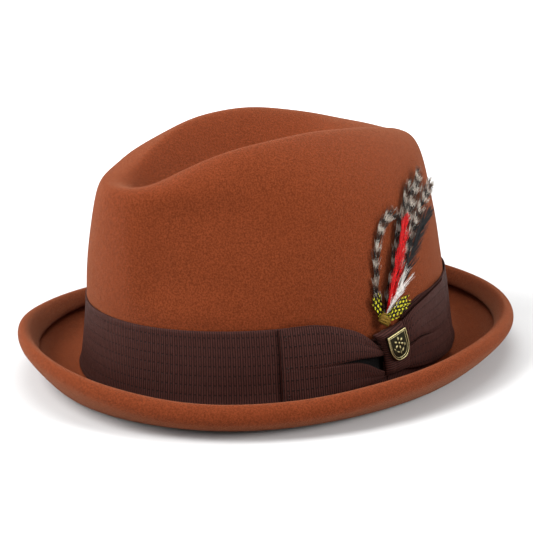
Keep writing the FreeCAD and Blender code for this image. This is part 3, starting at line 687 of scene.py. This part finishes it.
def build_band():
    """The ribbon goes once round the crown from end to end, its ends under the bow."""
    turn = BAND_START + np.linspace(0, BAND_SWEEP, 720)
    s = np.linspace(0, 1, 30)[:, None]
    height = RIBBON_LOW + (band_top(turn)[None] - RIBBON_LOW) * s
    t = np.radians(turn)[None]
    lift = RIBBON_LIFT + 0.18 * np.sin(5 * t + 2 * s) + 0.12 * np.sin(11 * t - 3 * s + 1)
    lift = lift + 0.25 * bump(s, 0.5, 0.35)
    grid = on_wall(np.broadcast_to(turn[None], height.shape), height, np.maximum(lift, 0.45))
    length = arc_length(grid[15])
    uv = pairs(length[None], RIBBON_WIDE * s + 0.2)
    obj = cloth("hatband", grid[::-1], CLOTH, uv[::-1])
    return obj, length[-1]


band, band_length = build_band()
dress(band, RIBBON, "hat", ["hatband_ribbon"])


# ---- bow
# Stations along a loop: turn, bottom edge, top of its lower part, underside of its upper
# lobe, top edge, lift of the front layer and depth of the tuck between the two parts.
FRONT_LOOP = np.array([
    (59.6, 4.6, 20.6, 21.6, 41.0, 2.9, 0.00),
    (62.0, 4.6, 20.6, 21.6, 41.3, 3.7, 0.00),
    (66.0, 4.7, 20.6, 21.6, 41.4, 4.4, 0.05),
    (70.0, 4.9, 20.5, 21.6, 40.9, 4.8, 0.25),
    (74.0, 5.4, 20.5, 21.7, 39.7, 5.2, 0.70),
    (78.0, 6.0, 20.2, 21.9, 37.5, 5.6, 1.60),
    (81.5, 6.6, 19.3, 22.0, 34.9, 5.8, 2.60),
    (84.5, 6.9, 17.2, 21.5, 31.4, 5.7, 3.40),
    (87.0, 7.7, 14.4, 21.0, 27.6, 5.4, 3.30),
    (89.0, 8.6, 12.4, 20.6, 25.0, 4.9, 2.90),
    (91.0, 9.4, 11.4, 20.2, 24.0, 4.2, 2.20),
])
BACK_LOOP = np.array([
    (97.4, 10.2, 18.6, 20.2, 31.6, 3.4, 0.60),
    (99.0, 9.6, 19.4, 21.4, 33.4, 4.7, 1.90),
    (101.0, 8.9, 20.4, 22.6, 35.6, 5.6, 3.00),
    (104.0, 8.0, 21.8, 23.6, 37.8, 5.8, 2.50),
    (108.0, 7.0, 21.6, 23.0, 39.4, 5.5, 1.50),
    (112.0, 6.4, 20.8, 22.0, 40.5, 5.1, 0.50),
    (117.0, 5.8, 20.4, 21.4, 41.3, 4.6, 0.05),
    (122.0, 5.5, 20.4, 21.4, 41.8, 4.1, 0.00),
    (125.5, 5.3, 20.4, 21.4, 41.9, 3.6, 0.00),
    (127.6, 5.3, 20.4, 21.4, 41.9, 2.9, 0.00),
])
INNER_LIFT = 1.75
FRONT_COUNT, BACK_COUNT = 110, 30
SIDE, DEEP, LOBE = 0.40, 0.475, 0.52


def build_loop(name, stations, knot_end, shear):
    """A loop of ribbon: its front layer runs from the knot to the free end, folds over and
    comes back against the band. knot_end is +1 if the knot is at the larger turns. Near the
    knot it is gathered, with its upper lobe lying over the lower part along a deep tuck."""
    turns, low, under, over, top, lift, pleat = stations.T
    free = turns[0] if knot_end > 0 else turns[-1]
    inner_end = turns[-1] if knot_end > 0 else turns[0]
    front_t = np.linspace(inner_end, free + knot_end * 0.5, FRONT_COUNT)
    fold = np.linspace(0, np.pi, 12)[1:-1]
    end_lift = np.interp(free, turns, lift)
    mid, half = (end_lift + INNER_LIFT) / 2, (end_lift - INNER_LIFT) / 2
    fold_t = free + knot_end * 0.5 - knot_end * 0.62 * np.sin(fold)
    fold_lift = mid + half * np.cos(fold)
    back_t = np.linspace(free + knot_end * 0.5, inner_end - knot_end * 2.5, BACK_COUNT)
    walk = np.concatenate([front_t, fold_t, back_t])
    layer = np.concatenate([np.ones(FRONT_COUNT), np.clip(np.cos(fold), 0, 1), np.zeros(BACK_COUNT)])
    base = np.concatenate([curve(turns, lift, front_t), fold_lift, np.full(BACK_COUNT, INNER_LIFT)])
    s = np.linspace(0, 1, 150)[:, None]
    z_low, z_under, z_over, z_top = (curve(turns, row, walk)[None] for row in (low, under, over, top))
    depth = (curve(turns, pleat, walk) * layer)[None]
    gather = np.clip(1 - (z_top - z_low) / 36.6, 0, 1)
    g = np.clip(depth / 2.4, 0, 1)
    marks = [0.0, SIDE, SIDE + 0.03, DEEP, LOBE - 0.015, LOBE]
    marks_z = [z_low, z_under, z_under + 0.1 * (z_over - z_under), z_over + 1.6 * g, z_over + 0.3 * g, z_over]
    marks_in = [0.0, 0.0, 0.9, 1.0, 0.55, 0.0]
    height, into = np.zeros((len(s), len(walk))), np.zeros((len(s), 1))
    for k in range(5):
        part = (s >= marks[k]) & (s < marks[k + 1])
        along = (s - marks[k]) / (marks[k + 1] - marks[k])
        height = np.where(part, marks_z[k] + (marks_z[k + 1] - marks_z[k]) * along, height)
        into = np.where(part, marks_in[k] + (marks_in[k + 1] - marks_in[k]) * along, into)
    k = np.clip((s - LOBE) / (1 - LOBE), 0, 1)
    height = np.where(s >= LOBE, z_over + (z_top - z_over) * k ** (1 + 0.25 * gather), height)
    smooth = np.array([1.0, 2.0, 1.0]) / 4
    padded = np.concatenate([height[:1], height, height[-1:]])
    height = sum(w * padded[i:i + len(s)] for i, w in enumerate(smooth))
    into = np.clip(into, 0, 1)
    lobe = np.clip((s - LOBE) / (1 - LOBE), 0, 1)
    flank = np.clip(s / SIDE, 0, 1)
    out = base[None] + layer[None] * (
        -depth * 1.05 * into
        + depth * 0.34 * np.sin(np.pi * np.sqrt(lobe)) * (lobe > 0)
        - depth * 0.30 * (1 - flank) ** 2
        - depth * 0.12 * np.sin(np.pi * flank)
        - (0.6 + 2.6 * gather) * lobe**5
        - (0.5 + 1.8 * gather) * (1 - flank) ** 5
        + 0.09 * np.sin(9 * s + 0.5 * walk[None])
        - gather * 1.6 * bump(lobe, 0.62, 0.10) * (lobe > 0)
        - gather * 1.0 * bump(flank, 0.45, 0.12) * (flank < 1)
    )
    out = np.maximum(out, INNER_LIFT + layer[None] * 0.55)
    grid = on_wall(np.broadcast_to(walk[None], height.shape), height, out)
    length = arc_length(grid[110])
    slant = shear * gather * np.where(s < SIDE, (s - SIDE) * 16.0, (s - SIDE) * 14.0) * layer[None]
    uv = pairs(length[None] + slant, RIBBON_WIDE * s + 0.2)
    if knot_end > 0:
        grid, uv = grid[::-1], uv[::-1]
    obj = cloth(name, grid, CLOTH, uv, flip=True)
    # Painted shade: hollow marks how deep in the tuck each point lies, and the ribbon's material colours it
    # almost black there.
    hollow = into * g * (1 + 0 * height)
    hollow = (hollow[::-1] if knot_end > 0 else hollow).ravel()
    shade = obj.data.attributes.new("hollow", "FLOAT", "POINT")
    shade.data.foreach_set("value", np.concatenate([hollow, hollow]).astype(np.float32))
    return obj, length[-1]


front_loop, front_length = build_loop("bow_front", FRONT_LOOP, 1, 1.0)
dress(front_loop, RIBBON, "hat", ["bow_front_loop"])
back_loop, back_length = build_loop("bow_back", BACK_LOOP, -1, -1.0)
dress(back_loop, RIBBON, "hat", ["bow_back_loop"])


KNOT_UNDER = 4.1  # lift of the knot's back layer


def build_knot():
    """Ribbon folded narrow and wound over the middle of the bow, top to bottom."""
    height = np.concatenate([
        np.linspace(26, 32.4, 10), [33.2, 33.7, 33.8, 33.5], np.linspace(32.6, 12.6, 60),
        [11.7, 11.0, 10.6, 10.7, 11.2], np.linspace(12.2, 17, 8)])
    lift = np.concatenate([
        np.full(10, KNOT_UNDER), [4.4, 5.2, 6.4, 7.3],
        curve([12, 16, 22, 28, 32.6], [7.3, 8.0, 8.5, 8.5, 8.0], np.linspace(32.6, 12.6, 60)),
        [6.8, 6.1, 5.2, 4.5, 4.2], np.full(8, KNOT_UNDER)])
    left = curve([9, 14, 18, 23, 26, 30, 32, 35], [89.8, 89.8, 89.7, 89.5, 89.1, 88.1, 87.5, 86.9], height)
    right = curve([9, 14, 18, 22, 25, 28, 33, 35], [98.9, 99.1, 99.3, 99.3, 99.1, 98.5, 97.5, 97.1], height)
    s = np.linspace(0, 1, 40)[:, None]
    turn = left[None] + (right - left)[None] * s
    across = np.abs(2 * s - 1)
    front = (lift[None] - KNOT_UNDER) / 4.5
    roll = front * (2.6 * across**6 + 0.7 * across**2)
    crease = front * (0.35 * bump(s, 0.30, 0.05) + 0.28 * bump(s, 0.72, 0.06))
    rise = np.clip((height - 20) / 13, 0, 1)[None] ** 2
    grid = on_wall(turn, height[None] - 2.6 * rise * (1 - s) ** 1.3, lift[None] - roll - crease)
    length = arc_length(grid[20])
    uv = pairs(length[None] + 2.2 * s, 18.0 * s + 9.0)
    obj = cloth("bow_centre", grid[::-1], CLOTH, uv[::-1], flip=True)
    return obj, length[-1]


knot, knot_length = build_knot()
dress(knot, RIBBON_PLAIN, "hat", ["bow_knot"])


def build_tacks():
    paths, radii = [], []
    for turn in (60.9, 126.2):
        for height in (8.0, 9.6, 21.0, 22.6, 36.0, 37.6):
            step = np.linspace(-0.9, 0.9, 7)
            t = turn + step * 0.5
            lift = 4.0 - 0.5 * np.abs(step)
            if turn > 100:
                lift = lift - 0.1
            paths.append(on_wall(t, height + step * 0.3, lift))
            radii.append(0.17)
    points, faces = tube_mesh(paths, radii, 6)
    return make_object("tacking_stitches", points, faces)


dress(build_tacks(), BROWN_THREAD, "hat", ["bow_tacks"])


# ---- badge
BADGE_TURN, BADGE_Z, BADGE_SPIN = 93.3, 24.1, math.radians(12.0)
BADGE_W, BADGE_H = 12.9, 13.9
BADGE_LIFT = 8.95
FIELD = 0.76  # the sunk field over the badge's back
INSET = 1.6  # the width of its double border


def badge_frame():
    here = on_wall(BADGE_TURN, BADGE_Z, BADGE_LIFT)
    out = unit(on_wall(BADGE_TURN, BADGE_Z, BADGE_LIFT + 1.0) - here)
    up = on_wall(BADGE_TURN, BADGE_Z + 0.6, BADGE_LIFT) - on_wall(BADGE_TURN, BADGE_Z - 0.6, BADGE_LIFT)
    up = unit(up - out * (up @ out))
    side = np.cross(up, out)
    c, s = math.cos(BADGE_SPIN), math.sin(BADGE_SPIN)
    return here, side * c + up * s, up * c - side * s, out


BADGE = badge_frame()


def on_badge(x, y, z):
    here, side, up, out = BADGE
    x, y, z = (np.asarray(a, float)[..., None] for a in (x, y, z))
    return here + side * x + up * y + out * z


def shield_outline(count=120):
    """A shield: flat top with small corners, sides that curve to a point."""
    half, top, foot = BADGE_W / 2, BADGE_H / 2, -BADGE_H / 2
    side = [(half * math.cos(a) ** 0.8, foot * math.sin(a) ** 1.15) for a in np.linspace(0, math.pi / 2, 40)]
    right = [(0.0, top), (half * 0.5, top), (half - 0.35, top), (half, top - 0.35), (half, top * 0.5)] + side
    pts = right + [(-x, y) for x, y in reversed(right[1:-1])]
    pts = np.array(pts + [pts[0]])
    length = arc_length(pts)
    at = np.linspace(0, length[-1], count, endpoint=False)
    return np.stack([np.interp(at, length, pts[:, k]) for k in range(2)], -1)


def build_badge():
    edge = shield_outline()
    tangent = unit(np.roll(edge, -1, 0) - np.roll(edge, 1, 0))
    inward = np.stack([tangent[:, 1], -tangent[:, 0]], -1)
    profile = [(0.0, 0.0, 0.0), (0.0, 0.95, 0.4), (0.08, 1.18, 0.9), (0.24, 1.32, 1.0), (0.42, 1.34, 1.0),
               (0.55, 1.26, 0.9), (0.62, 1.05, 0.2), (0.66, 0.80, 0.0), (1.12, 0.78, 0.0), (1.18, 0.92, 0.8),
               (1.29, 0.97, 1.0), (1.40, 0.92, 0.8), (1.46, 0.78, 0.0), (INSET, FIELD, 0.0)]
    rows, shine = [], []
    for inset, z, bright in profile:
        p = edge + inward * inset
        rows.append(on_badge(p[:, 0], p[:, 1], np.full(len(p), z)))
        shine.append(np.full(len(p), bright))
    for shrink in np.linspace(0.97, 0.05, 18):
        p = (edge + inward * INSET) * shrink
        relief = FIELD + 0.05 * np.sin(p[:, 0] * 6.0) * np.sin(p[:, 1] * 6.0)
        rows.append(on_badge(p[:, 0], p[:, 1], relief))
        shine.append(np.full(len(p), 0.12) + 2.0 * (relief - FIELD))
    grid = np.array(rows)
    uv = np.stack([np.zeros(grid.shape[:2]), np.array(shine)], -1).reshape(-1, 2)
    count, cols = grid.shape[:2]
    faces = grid_faces(count, cols, True)
    faces.append(list(range(cols))[::-1])
    faces.append([(count - 1) * cols + c for c in range(cols)])
    return make_object("shield_badge", grid.reshape(-1, 3), faces, uv)


dress(build_badge(), BRASS, "hat", ["badge_shield"])


def build_rosette():
    """A raised ornament of six petals round a boss, above a small twig of leaves."""
    points, faces, uv = [], [], []

    def dome(x, y, long, wide, high, angle):
        base = len(points)
        rings, sides = 7, 20
        for r in range(rings + 1):
            k = r / rings
            radius = math.cos(k * math.pi / 2)
            for a in np.linspace(0, 2 * np.pi, sides, endpoint=False):
                px, py = long * radius * math.cos(a), wide * radius * math.sin(a)
                qx = x + px * math.cos(angle) - py * math.sin(angle)
                qy = y + px * math.sin(angle) + py * math.cos(angle)
                points.append(on_badge(qx, qy, 0.74 + high * math.sin(k * math.pi / 2)))
                uv.append((0.0, 0.05 + 0.85 * k))
        faces.extend(grid_faces(rings + 1, sides, True, base))

    for k in range(6):
        a = k * math.pi / 3 + math.pi / 6
        dome(2.25 * math.cos(a), 1.5 + 2.25 * math.sin(a), 1.20, 0.78, 0.46, a)
    dome(0.0, 1.5, 0.85, 0.85, 0.62, 0.0)
    for side in (-1, 1):
        dome(side * 1.5, -2.6, 1.45, 0.50, 0.38, side * 0.65)
        dome(side * 3.4, -0.6, 1.05, 0.42, 0.34, side * 1.1)
    dome(0.0, -3.4, 0.34, 1.6, 0.34, 0.0)
    return make_object("badge_ornament", np.array(points), faces, np.array(uv))


dress(build_rosette(), BRASS, "hat", ["badge_rosette"])


# ---- sweatband and lining
def ring_strip(name, low, high, lift_of, rows, thickness, uv_v):
    turn = np.linspace(-179.5, 179.5, 600)
    s = np.linspace(0, 1, rows)[:, None]
    height = low + (high - low) * s
    turn_grid, height_grid = np.broadcast_arrays(turn[None], height)
    grid = on_wall(turn_grid, height_grid, lift_of(np.radians(turn_grid), s))
    length = arc_length(grid[rows // 2])
    uv = pairs(length[None], uv_v * s)
    return cloth(name, grid[::-1], thickness, uv[::-1])


LEATHER_THICK = 0.9
SWEAT = -(FELT + 0.8 + 0.45)  # the leather's middle, 0.8 mm clear of the felt
INSIDE_HEIGHT = 21.0  # the little bow's and the label's middle
BOW_STRETCH = 1.18  # divides the little bow's mm into degrees of turn, and widens it a little
LABEL_TURN = -150.0
LINING = -(FELT + 1.85)


def sweat_lift(t, s):
    return SWEAT + 0.10 * np.sin(9 * t) * s - 0.25 * bump(s, 1.0, 0.05) + 0.18 * bump(s, 0.93, 0.02)


sweat = ring_strip("sweatband_leather", 4.6, 36.0, sweat_lift, 40, LEATHER_THICK, 31.4)
dress(sweat, LEATHER, "hat", ["sweatband"])


def build_stitches():
    paths, radii = [], []
    for k in range(120):
        t = 3.0 * k + np.linspace(-0.85, 0.85, 7)
        lift = SWEAT - 0.45 - 0.28 * np.cos(np.linspace(-1.35, 1.35, 7))
        paths.append(on_wall(t, 6.2 + 0 * t, lift))
        radii.append(0.2)
    points, faces = tube_mesh(paths, radii, 6)
    return make_object("sweatband_stitches", points, faces)


dress(build_stitches(), TAN_THREAD, "hat", ["sweatband_stitching"])


def build_back_bow():
    """The little ribbon bow inside, at the back of the sweatband."""
    points, faces, uv = [], [], []
    for side in (-1, 1):
        a = np.linspace(0, 1, 18)[None]
        s = np.linspace(-1, 1, 11)[:, None]
        half = 1.4 + 4.0 * np.sin(a * np.pi / 2) ** 1.3
        z = 1.0 + 1.3 * np.sin(a * np.pi) * (1 - 0.4 * s**2) + 0.25 * np.cos(3 * np.pi * s) * (1 - a)
        x, y, z = np.broadcast_arrays(side * (1.2 + 10.6 * a), s * half, z)
        grid = on_wall(180.0 + x / BOW_STRETCH, INSIDE_HEIGHT + y, SWEAT - 0.6 - z)
        base = len(points)
        points.extend(grid.reshape(-1, 3))
        faces.extend(grid_faces(*grid.shape[:2], offset=base, flip=side < 0))
        uv.extend(np.stack([x, y + 9], -1).reshape(-1, 2))
    a = np.linspace(0, 2 * np.pi, 16, endpoint=False)[None]
    s = np.linspace(-1, 1, 9)[:, None]
    x, y, z = np.broadcast_arrays(1.5 * s, 2.4 * np.sin(a), 1.5 + 1.0 * np.cos(a))
    grid = on_wall(180.0 + x / BOW_STRETCH, INSIDE_HEIGHT + y, SWEAT - 0.6 - z)
    base = len(points)
    points.extend(grid.reshape(-1, 3))
    faces.extend(grid_faces(9, 16, True, base))
    uv.extend(pairs(4 * a, 2 * s + 9).reshape(-1, 2))
    return make_object("sweatband_ribbon_bow", np.array(points), faces, np.array(uv))


back_bow = build_back_bow()
solid = back_bow.modifiers.new("thickness", "SOLIDIFY")
solid.thickness = 0.35 * MM
dress(back_bow, RIBBON_PLAIN, "hat", ["sweatband_bow"])


def build_label():
    x = np.linspace(-10, 10, 24)[None]
    y = np.linspace(-5.5, 5.5, 14)[:, None]
    x, y = np.broadcast_arrays(x, y)
    grid = on_wall(LABEL_TURN + x / 1.25, INSIDE_HEIGHT + y, SWEAT - 0.75 - 0.15 * np.cos(x * 0.5))
    return cloth("blank_label", grid[::-1], 0.35, pairs(x, y)[::-1])


dress(build_label(), LABEL_CLOTH, "hat", ["size_label"])


def lining_rows(distance, start, stop, samples, wrinkle, seam=0.0, tuck=0.0):
    rings = shifted(CROWN, distance)
    turns = np.arange(-180.0, 180.01, 1.0)
    rows = surface(rings, np.linspace(start, stop, samples), turns)
    n = grid_normals(rows)
    t = np.radians(turns)[None]
    k = np.linspace(0, 1, samples)[:, None]
    fold = wrinkle * (np.sin(26 * t + 3 * np.sin(3 * t)) * k + 0.6 * np.sin(41 * t + 2 * k))
    rows = rows + n * fold[..., None]
    rows = rows - n * (tuck * step((k - 0.80) / 0.10))[..., None]
    rows[..., 2] += seam
    return sink_side(rows, turns)


def satin(name, rows):
    length = arc_length(rows[len(rows) // 2])
    down = arc_length(rows[:, 0])
    return cloth(name, rows, 0.4, pairs(length[None], down[:, None])), length[-1], down[-1]


side_rows = lining_rows(LINING, 5.95, 10.35, 60, 0.20, tuck=1.30)
lining_wall, wall_length, wall_height = satin("lining_wall", side_rows)
dress(lining_wall, SATIN, "hat", ["lining_side"])
tip_rows = lining_rows(LINING, 0.05, 5.9, 70, 0.06, 0.5)
tip_middle = tip_rows[0].mean(0)
inner = [tip_middle + (tip_rows[0] - tip_middle) * k for k in (0.02, 0.30, 0.65)]
tip_rows = np.concatenate([inner, tip_rows])
lining_crown = satin("lining_crown", tip_rows)[0]
dress(lining_crown, SATIN, "hat", ["lining_tip"])
# Its flat size, over the crown from side to side and from back to front.
across, along = (sum(arc_length(tip_rows[:, c])[-1] for c in pair) * MM for pair in ((90, 270), (0, 180)))

paint_cad("sweatband_reed", REED_CLOTH)
paint_cad("badge_pins", BRASS)


# ---- feathers
HACKLES = {
    # name: node, material, slot, lift, shaft as (turn, height), half widths, barb pitch, angle
    "grizzly_front": ("grizzly_hackle_front", GRIZZLY, "grizzly_feather", 1.5,
        [(92.4, 38.6), (91.6, 47.4), (92.0, 55.7), (93.1, 64.0), (95.2, 72.9), (98.6, 79.2),
        (102.4, 82.4)], [2.2, 2.9, 2.9, 3.0, 3.4, 3.8, 2.6], 0.26, 24),
    "grizzly_middle": ("grizzly_hackle_middle", GRIZZLY, "grizzly_feather", 2.2,
        [(93.2, 38.6), (95.6, 48.4), (98.6, 57.7), (101.4, 67.3), (105.1, 76.0), (110.1, 84.3),
        (112.6, 87.4), (115.0, 90.6)], [1.8, 3.0, 3.6, 4.0, 4.6, 5.0, 4.6, 2.8], 0.25, 27),
    "grizzly_top": ("grizzly_hackle_top", GRIZZLY, "grizzly_feather", 2.9,
        [(93.3, 38.6), (97.4, 49.3), (101.7, 61.4), (106.2, 72.2), (111.5, 81.8), (116.4, 88.4),
        (122.4, 94.4)], [1.6, 2.4, 3.2, 4.2, 5.2, 5.8, 3.2], 0.25, 28),
    "grizzly_back": ("grizzly_hackle_back", GRIZZLY, "grizzly_feather", 3.5,
        [(93.5, 38.8), (98.4, 50.4), (103.7, 62.5), (110.0, 72.6), (117.9, 81.2), (124.8, 85.4),
        (130.4, 88.0)], [1.6, 2.4, 3.0, 4.2, 5.2, 4.8, 2.6], 0.27, 28),
    "black_long": ("black_hackle", BLACK, "black_feather", 4.2,
        [(93.3, 39.0), (97.4, 47.4), (102.7, 56.6), (108.9, 66.3), (115.5, 73.0), (121.8, 76.8)],
        [1.6, 3.0, 4.4, 5.0, 4.4, 2.0], 0.24, 22),
    "red_long": ("red_hackle", RED, "red_feather", 5.0,
        [(92.2, 38.2), (94.8, 47.0), (98.2, 57.5), (101.5, 66.7), (103.8, 73.2), (106.6, 79.0)],
        [1.5, 2.9, 3.5, 3.4, 2.6, 1.3], 0.21, 18),
    "white_wisps": ("white_hackle", WHITE, "white_feather", 5.8,
        [(92.4, 39.6), (94.2, 43.4), (95.9, 46.2), (97.6, 48.8), (99.2, 51.0)],
        [1.4, 3.2, 4.8, 5.0, 3.2], 0.44, 26),
    "guinea_upper": ("guinea_feather_upper", GUINEA, "guinea_feather", 6.6,
        [(90.9, 37.1), (92.8, 38.7), (94.9, 40.3), (97.1, 41.8), (99.6, 43.4)],
        [2.6, 4.6, 5.4, 4.8, 2.8], 0.16, 52),
    "guinea_lower": ("guinea_feather_lower", GUINEA, "guinea_feather", 2.9,
        [(91.5, 36.6), (91.0, 39.9), (90.7, 42.5), (90.6, 45.0), (90.6, 47.2)],
        [2.2, 3.6, 4.2, 3.8, 2.2], 0.16, 48),
}


QUILL_COUNT, QUILL_DRAWN = 60, 56  # places along a shaft, and how many of them have the quill
BARB_STEPS = 5


def build_hackle(name, lift, shaft, widths, pitch, angle):
    """A feather: a tapering quill with separate barbs raked towards its tip, the barbs
    clinging together in uneven tufts."""
    shaft = np.array(shaft)
    k = np.linspace(0, 1, len(shaft))
    fine = np.linspace(0, 1, QUILL_COUNT)
    t, z = (curve(k, shaft[:, c], fine) for c in range(2))
    line = on_wall(t, z, np.full(QUILL_COUNT, lift) - 0.7 * bump(fine, 0.0, 0.10))
    run = arc_length(line)
    ahead = unit(np.gradient(line, axis=0))
    out = unit(wall_out(t, z))
    side = unit(np.cross(ahead, out))
    points, faces, uv = [], [], []
    quill, quill_faces = tube_mesh([line[:QUILL_DRAWN]], [np.linspace(0.34, 0.10, QUILL_DRAWN)], 6)
    points.extend(quill)
    faces.extend(quill_faces)
    uv.extend(np.stack([np.repeat(run[:QUILL_DRAWN], 6), np.zeros(QUILL_DRAWN * 6)], -1))
    count = int(run[-1] / pitch)
    theta0 = math.radians(angle)
    loose = 0.35 if name.startswith("guinea") else 1.0  # a closed vane holds its barbs
    for sign in (-1, 1):
        left, turn_out, reach_by, raise_by = 0, 0.0, 1.0, 0.0
        for i in range(count):
            if left <= 0:
                left = rng.integers(2, 9)
                turn_out, reach_by = rng.normal(0, 0.16) * loose, 1 + loose * (0.42 * rng.random() - 0.20)
                raise_by = loose * 0.8 * rng.random()
            left -= 1
            place = (i + rng.random() * 0.8) / count
            f = place * (QUILL_COUNT - 1)
            j = min(int(f), QUILL_COUNT - 2)
            w = f - j
            root = line[j] * (1 - w) + line[j + 1] * w
            a, o, b = ahead[j], out[j], side[j]
            theta = theta0 * (1.15 - 0.45 * place) * (0.9 + 0.2 * rng.random()) + turn_out
            theta = max(theta, 0.12)
            reach = curve(k, widths, place) / math.sin(theta0) * reach_by * (0.88 + 0.24 * rng.random())
            reach = min(reach, 13.0)
            width = 0.13 + 0.05 * rng.random()
            rise = 0.08 + 0.35 * rng.random() + raise_by
            drift = rng.normal(0, 0.06) * loose
            shift = rng.normal(0, 0.85) * loose
            base = len(points)
            for q in range(BARB_STEPS + 1):
                e = q / BARB_STEPS
                th = theta * (1 - 0.40 * e) + drift * e
                p = root + a * (reach * e * math.cos(th)) + b * (sign * reach * e * math.sin(th))
                p = p + o * (rise * e * e + 0.04 * (i % 5))
                half = width * (1 - 0.85 * e) + 0.015
                broad = b * math.cos(th) - a * (sign * math.sin(th))
                points.append(p - broad * half)
                points.append(p + broad * half)
                u = run[j] + shift + reach * e * math.cos(th)
                uv += [(u, sign * reach * e * math.sin(th))] * 2
            for q in range(BARB_STEPS):
                n = base + 2 * q
                faces.append([n, n + 1, n + 3, n + 2])
    return make_object(name, np.array(points), faces, np.array(uv))


for name, (node, material, slot, lift, shaft, widths, pitch, angle) in HACKLES.items():
    dress(build_hackle(name, lift, shaft, widths, pitch, angle), material, "feather_trim", [node])


BINDING = (91.7, 37.1)
WINDS = 9


def build_binding():
    """Waxed thread wound round the quills, turn upon turn."""
    here = on_wall(*BINDING, 4.6)
    up = unit(on_wall(92.4, 38.4, 4.6) - on_wall(91.4, 36.4, 4.6))
    out = wall_out(*BINDING)
    side = unit(np.cross(up, out))
    a = np.linspace(0, 2 * np.pi * WINDS, WINDS * 28)
    k = np.linspace(-1, 1, len(a))
    r = 2.1 + 0.55 * (1 - k**2) + 0.10 * np.sin(5 * a) + 0.12 * np.sin(2.3 * a)
    path = here + np.cos(a)[:, None] * side * (r * 1.15)[:, None]
    path = path + np.sin(a)[:, None] * out * (r * 0.85)[:, None]
    path = path + up * (k * 2.1 + 0.25 * np.sin(1.7 * a))[:, None]
    points, faces = tube_mesh([path, here + up * np.linspace(-2.3, 2.5, 8)[:, None]], [0.36, 1.85], 8)
    return make_object("thread_binding", points, faces)


dress(build_binding(), GOLD_THREAD, "feather_trim", ["quill_binding"])
paint_cad("feather_tab", CARD)


# ---- floor, light and camera
FLOOR_Z = -0.0002
FLOOR_REACH = 6.0
WORLD_LIGHT = 0.54
LENS = 120.4


def floor():
    """A pale floor, deeper in tone round the hat, which bounces less light under the brim."""
    mesh = bpy.data.meshes.new("floor")
    corners = [(x * FLOOR_REACH, y * FLOOR_REACH, FLOOR_Z) for x, y in ((-1, -1), (1, -1), (1, 1), (-1, 1))]
    mesh.from_pydata(corners, [], [(0, 1, 2, 3)])
    obj = bpy.data.objects.new("floor", mesh)
    scene.collection.objects.link(obj)
    t = Tree("pale_floor")
    at = t.place((1.0, 1.0, 1.0))
    far = t.node("ShaderNodeVectorMath", {0: at}, operation="LENGTH").outputs["Value"]
    near_tone = t.mix(t.noise(at, 40.0, 2.0), (0.53, 0.53, 0.53), (0.56, 0.56, 0.56))
    colour = t.mix(t.band(far, 0.22, 0.60), near_tone, (0.95, 0.95, 0.95))
    obj.data.materials.append(t.done(Base_Color=colour, Roughness=0.9, Specular_IOR_Level=0.1))


floor()

world = bpy.data.worlds.new("studio")
scene.world = world
world.use_nodes = True
sky = world.node_tree.nodes["Background"].inputs
sky["Color"].default_value = (1.0, 1.0, 1.0, 1.0)
sky["Strength"].default_value = WORLD_LIGHT


def area_light(name, place, width, power):
    data = bpy.data.lights.new(name, "AREA")
    data.shape = "DISK"
    data.size = width
    data.energy = power
    obj = bpy.data.objects.new(name, data)
    obj.location = place
    scene.collection.objects.link(obj)
    aim(obj, AIM)


def aim(obj, target, roll=0.0):
    back = unit(np.array(obj.location) - np.array(target))
    right = unit(np.cross((0, 0, 1), back))
    up = np.cross(back, right)
    c, s = math.cos(roll), math.sin(roll)
    x, y = right * c + up * s, up * c - right * s
    obj.rotation_euler = Matrix(np.stack([x, y, back], 1).tolist()).to_euler()


AZIMUTH, ELEVATION, ROLL = math.radians(50.72), math.radians(17.2), math.radians(-0.7)
AIM = np.array([-0.94, -1.15, 45.37]) * MM
DISTANCE = 0.909
LEVEL = math.cos(ELEVATION)
BACK = np.array([math.sin(AZIMUTH) * LEVEL, -math.cos(AZIMUTH) * LEVEL, math.sin(ELEVATION)])
RIGHT = np.array([math.cos(AZIMUTH), math.sin(AZIMUTH), 0.0])

# Each light's metres towards the camera, to the right and up, its width and its watts.
for name, near, across, high, width, power in (
        ("key", 0.35, -0.85, 0.95, 0.7, 20.0), ("top", -0.3, 0.0, 1.4, 1.2, 15.0),
        ("right", 0.65, 1.15, 0.42, 0.7, 19.0), ("left", 0.10, -1.25, 0.36, 0.6, 12.5)):
    area_light(name, AIM + (BACK * near + RIGHT * across + np.array([0, 0, high])), width, power)

camera_data = bpy.data.cameras.new("camera")
camera_data.sensor_width = 36.0
camera_data.lens = LENS
camera_data.clip_start = 0.01
camera = bpy.data.objects.new("camera", camera_data)
camera.location = AIM + BACK * DISTANCE
scene.collection.objects.link(camera)
aim(camera, AIM, ROLL)
scene.camera = camera
scene.view_settings.view_transform = "Standard"
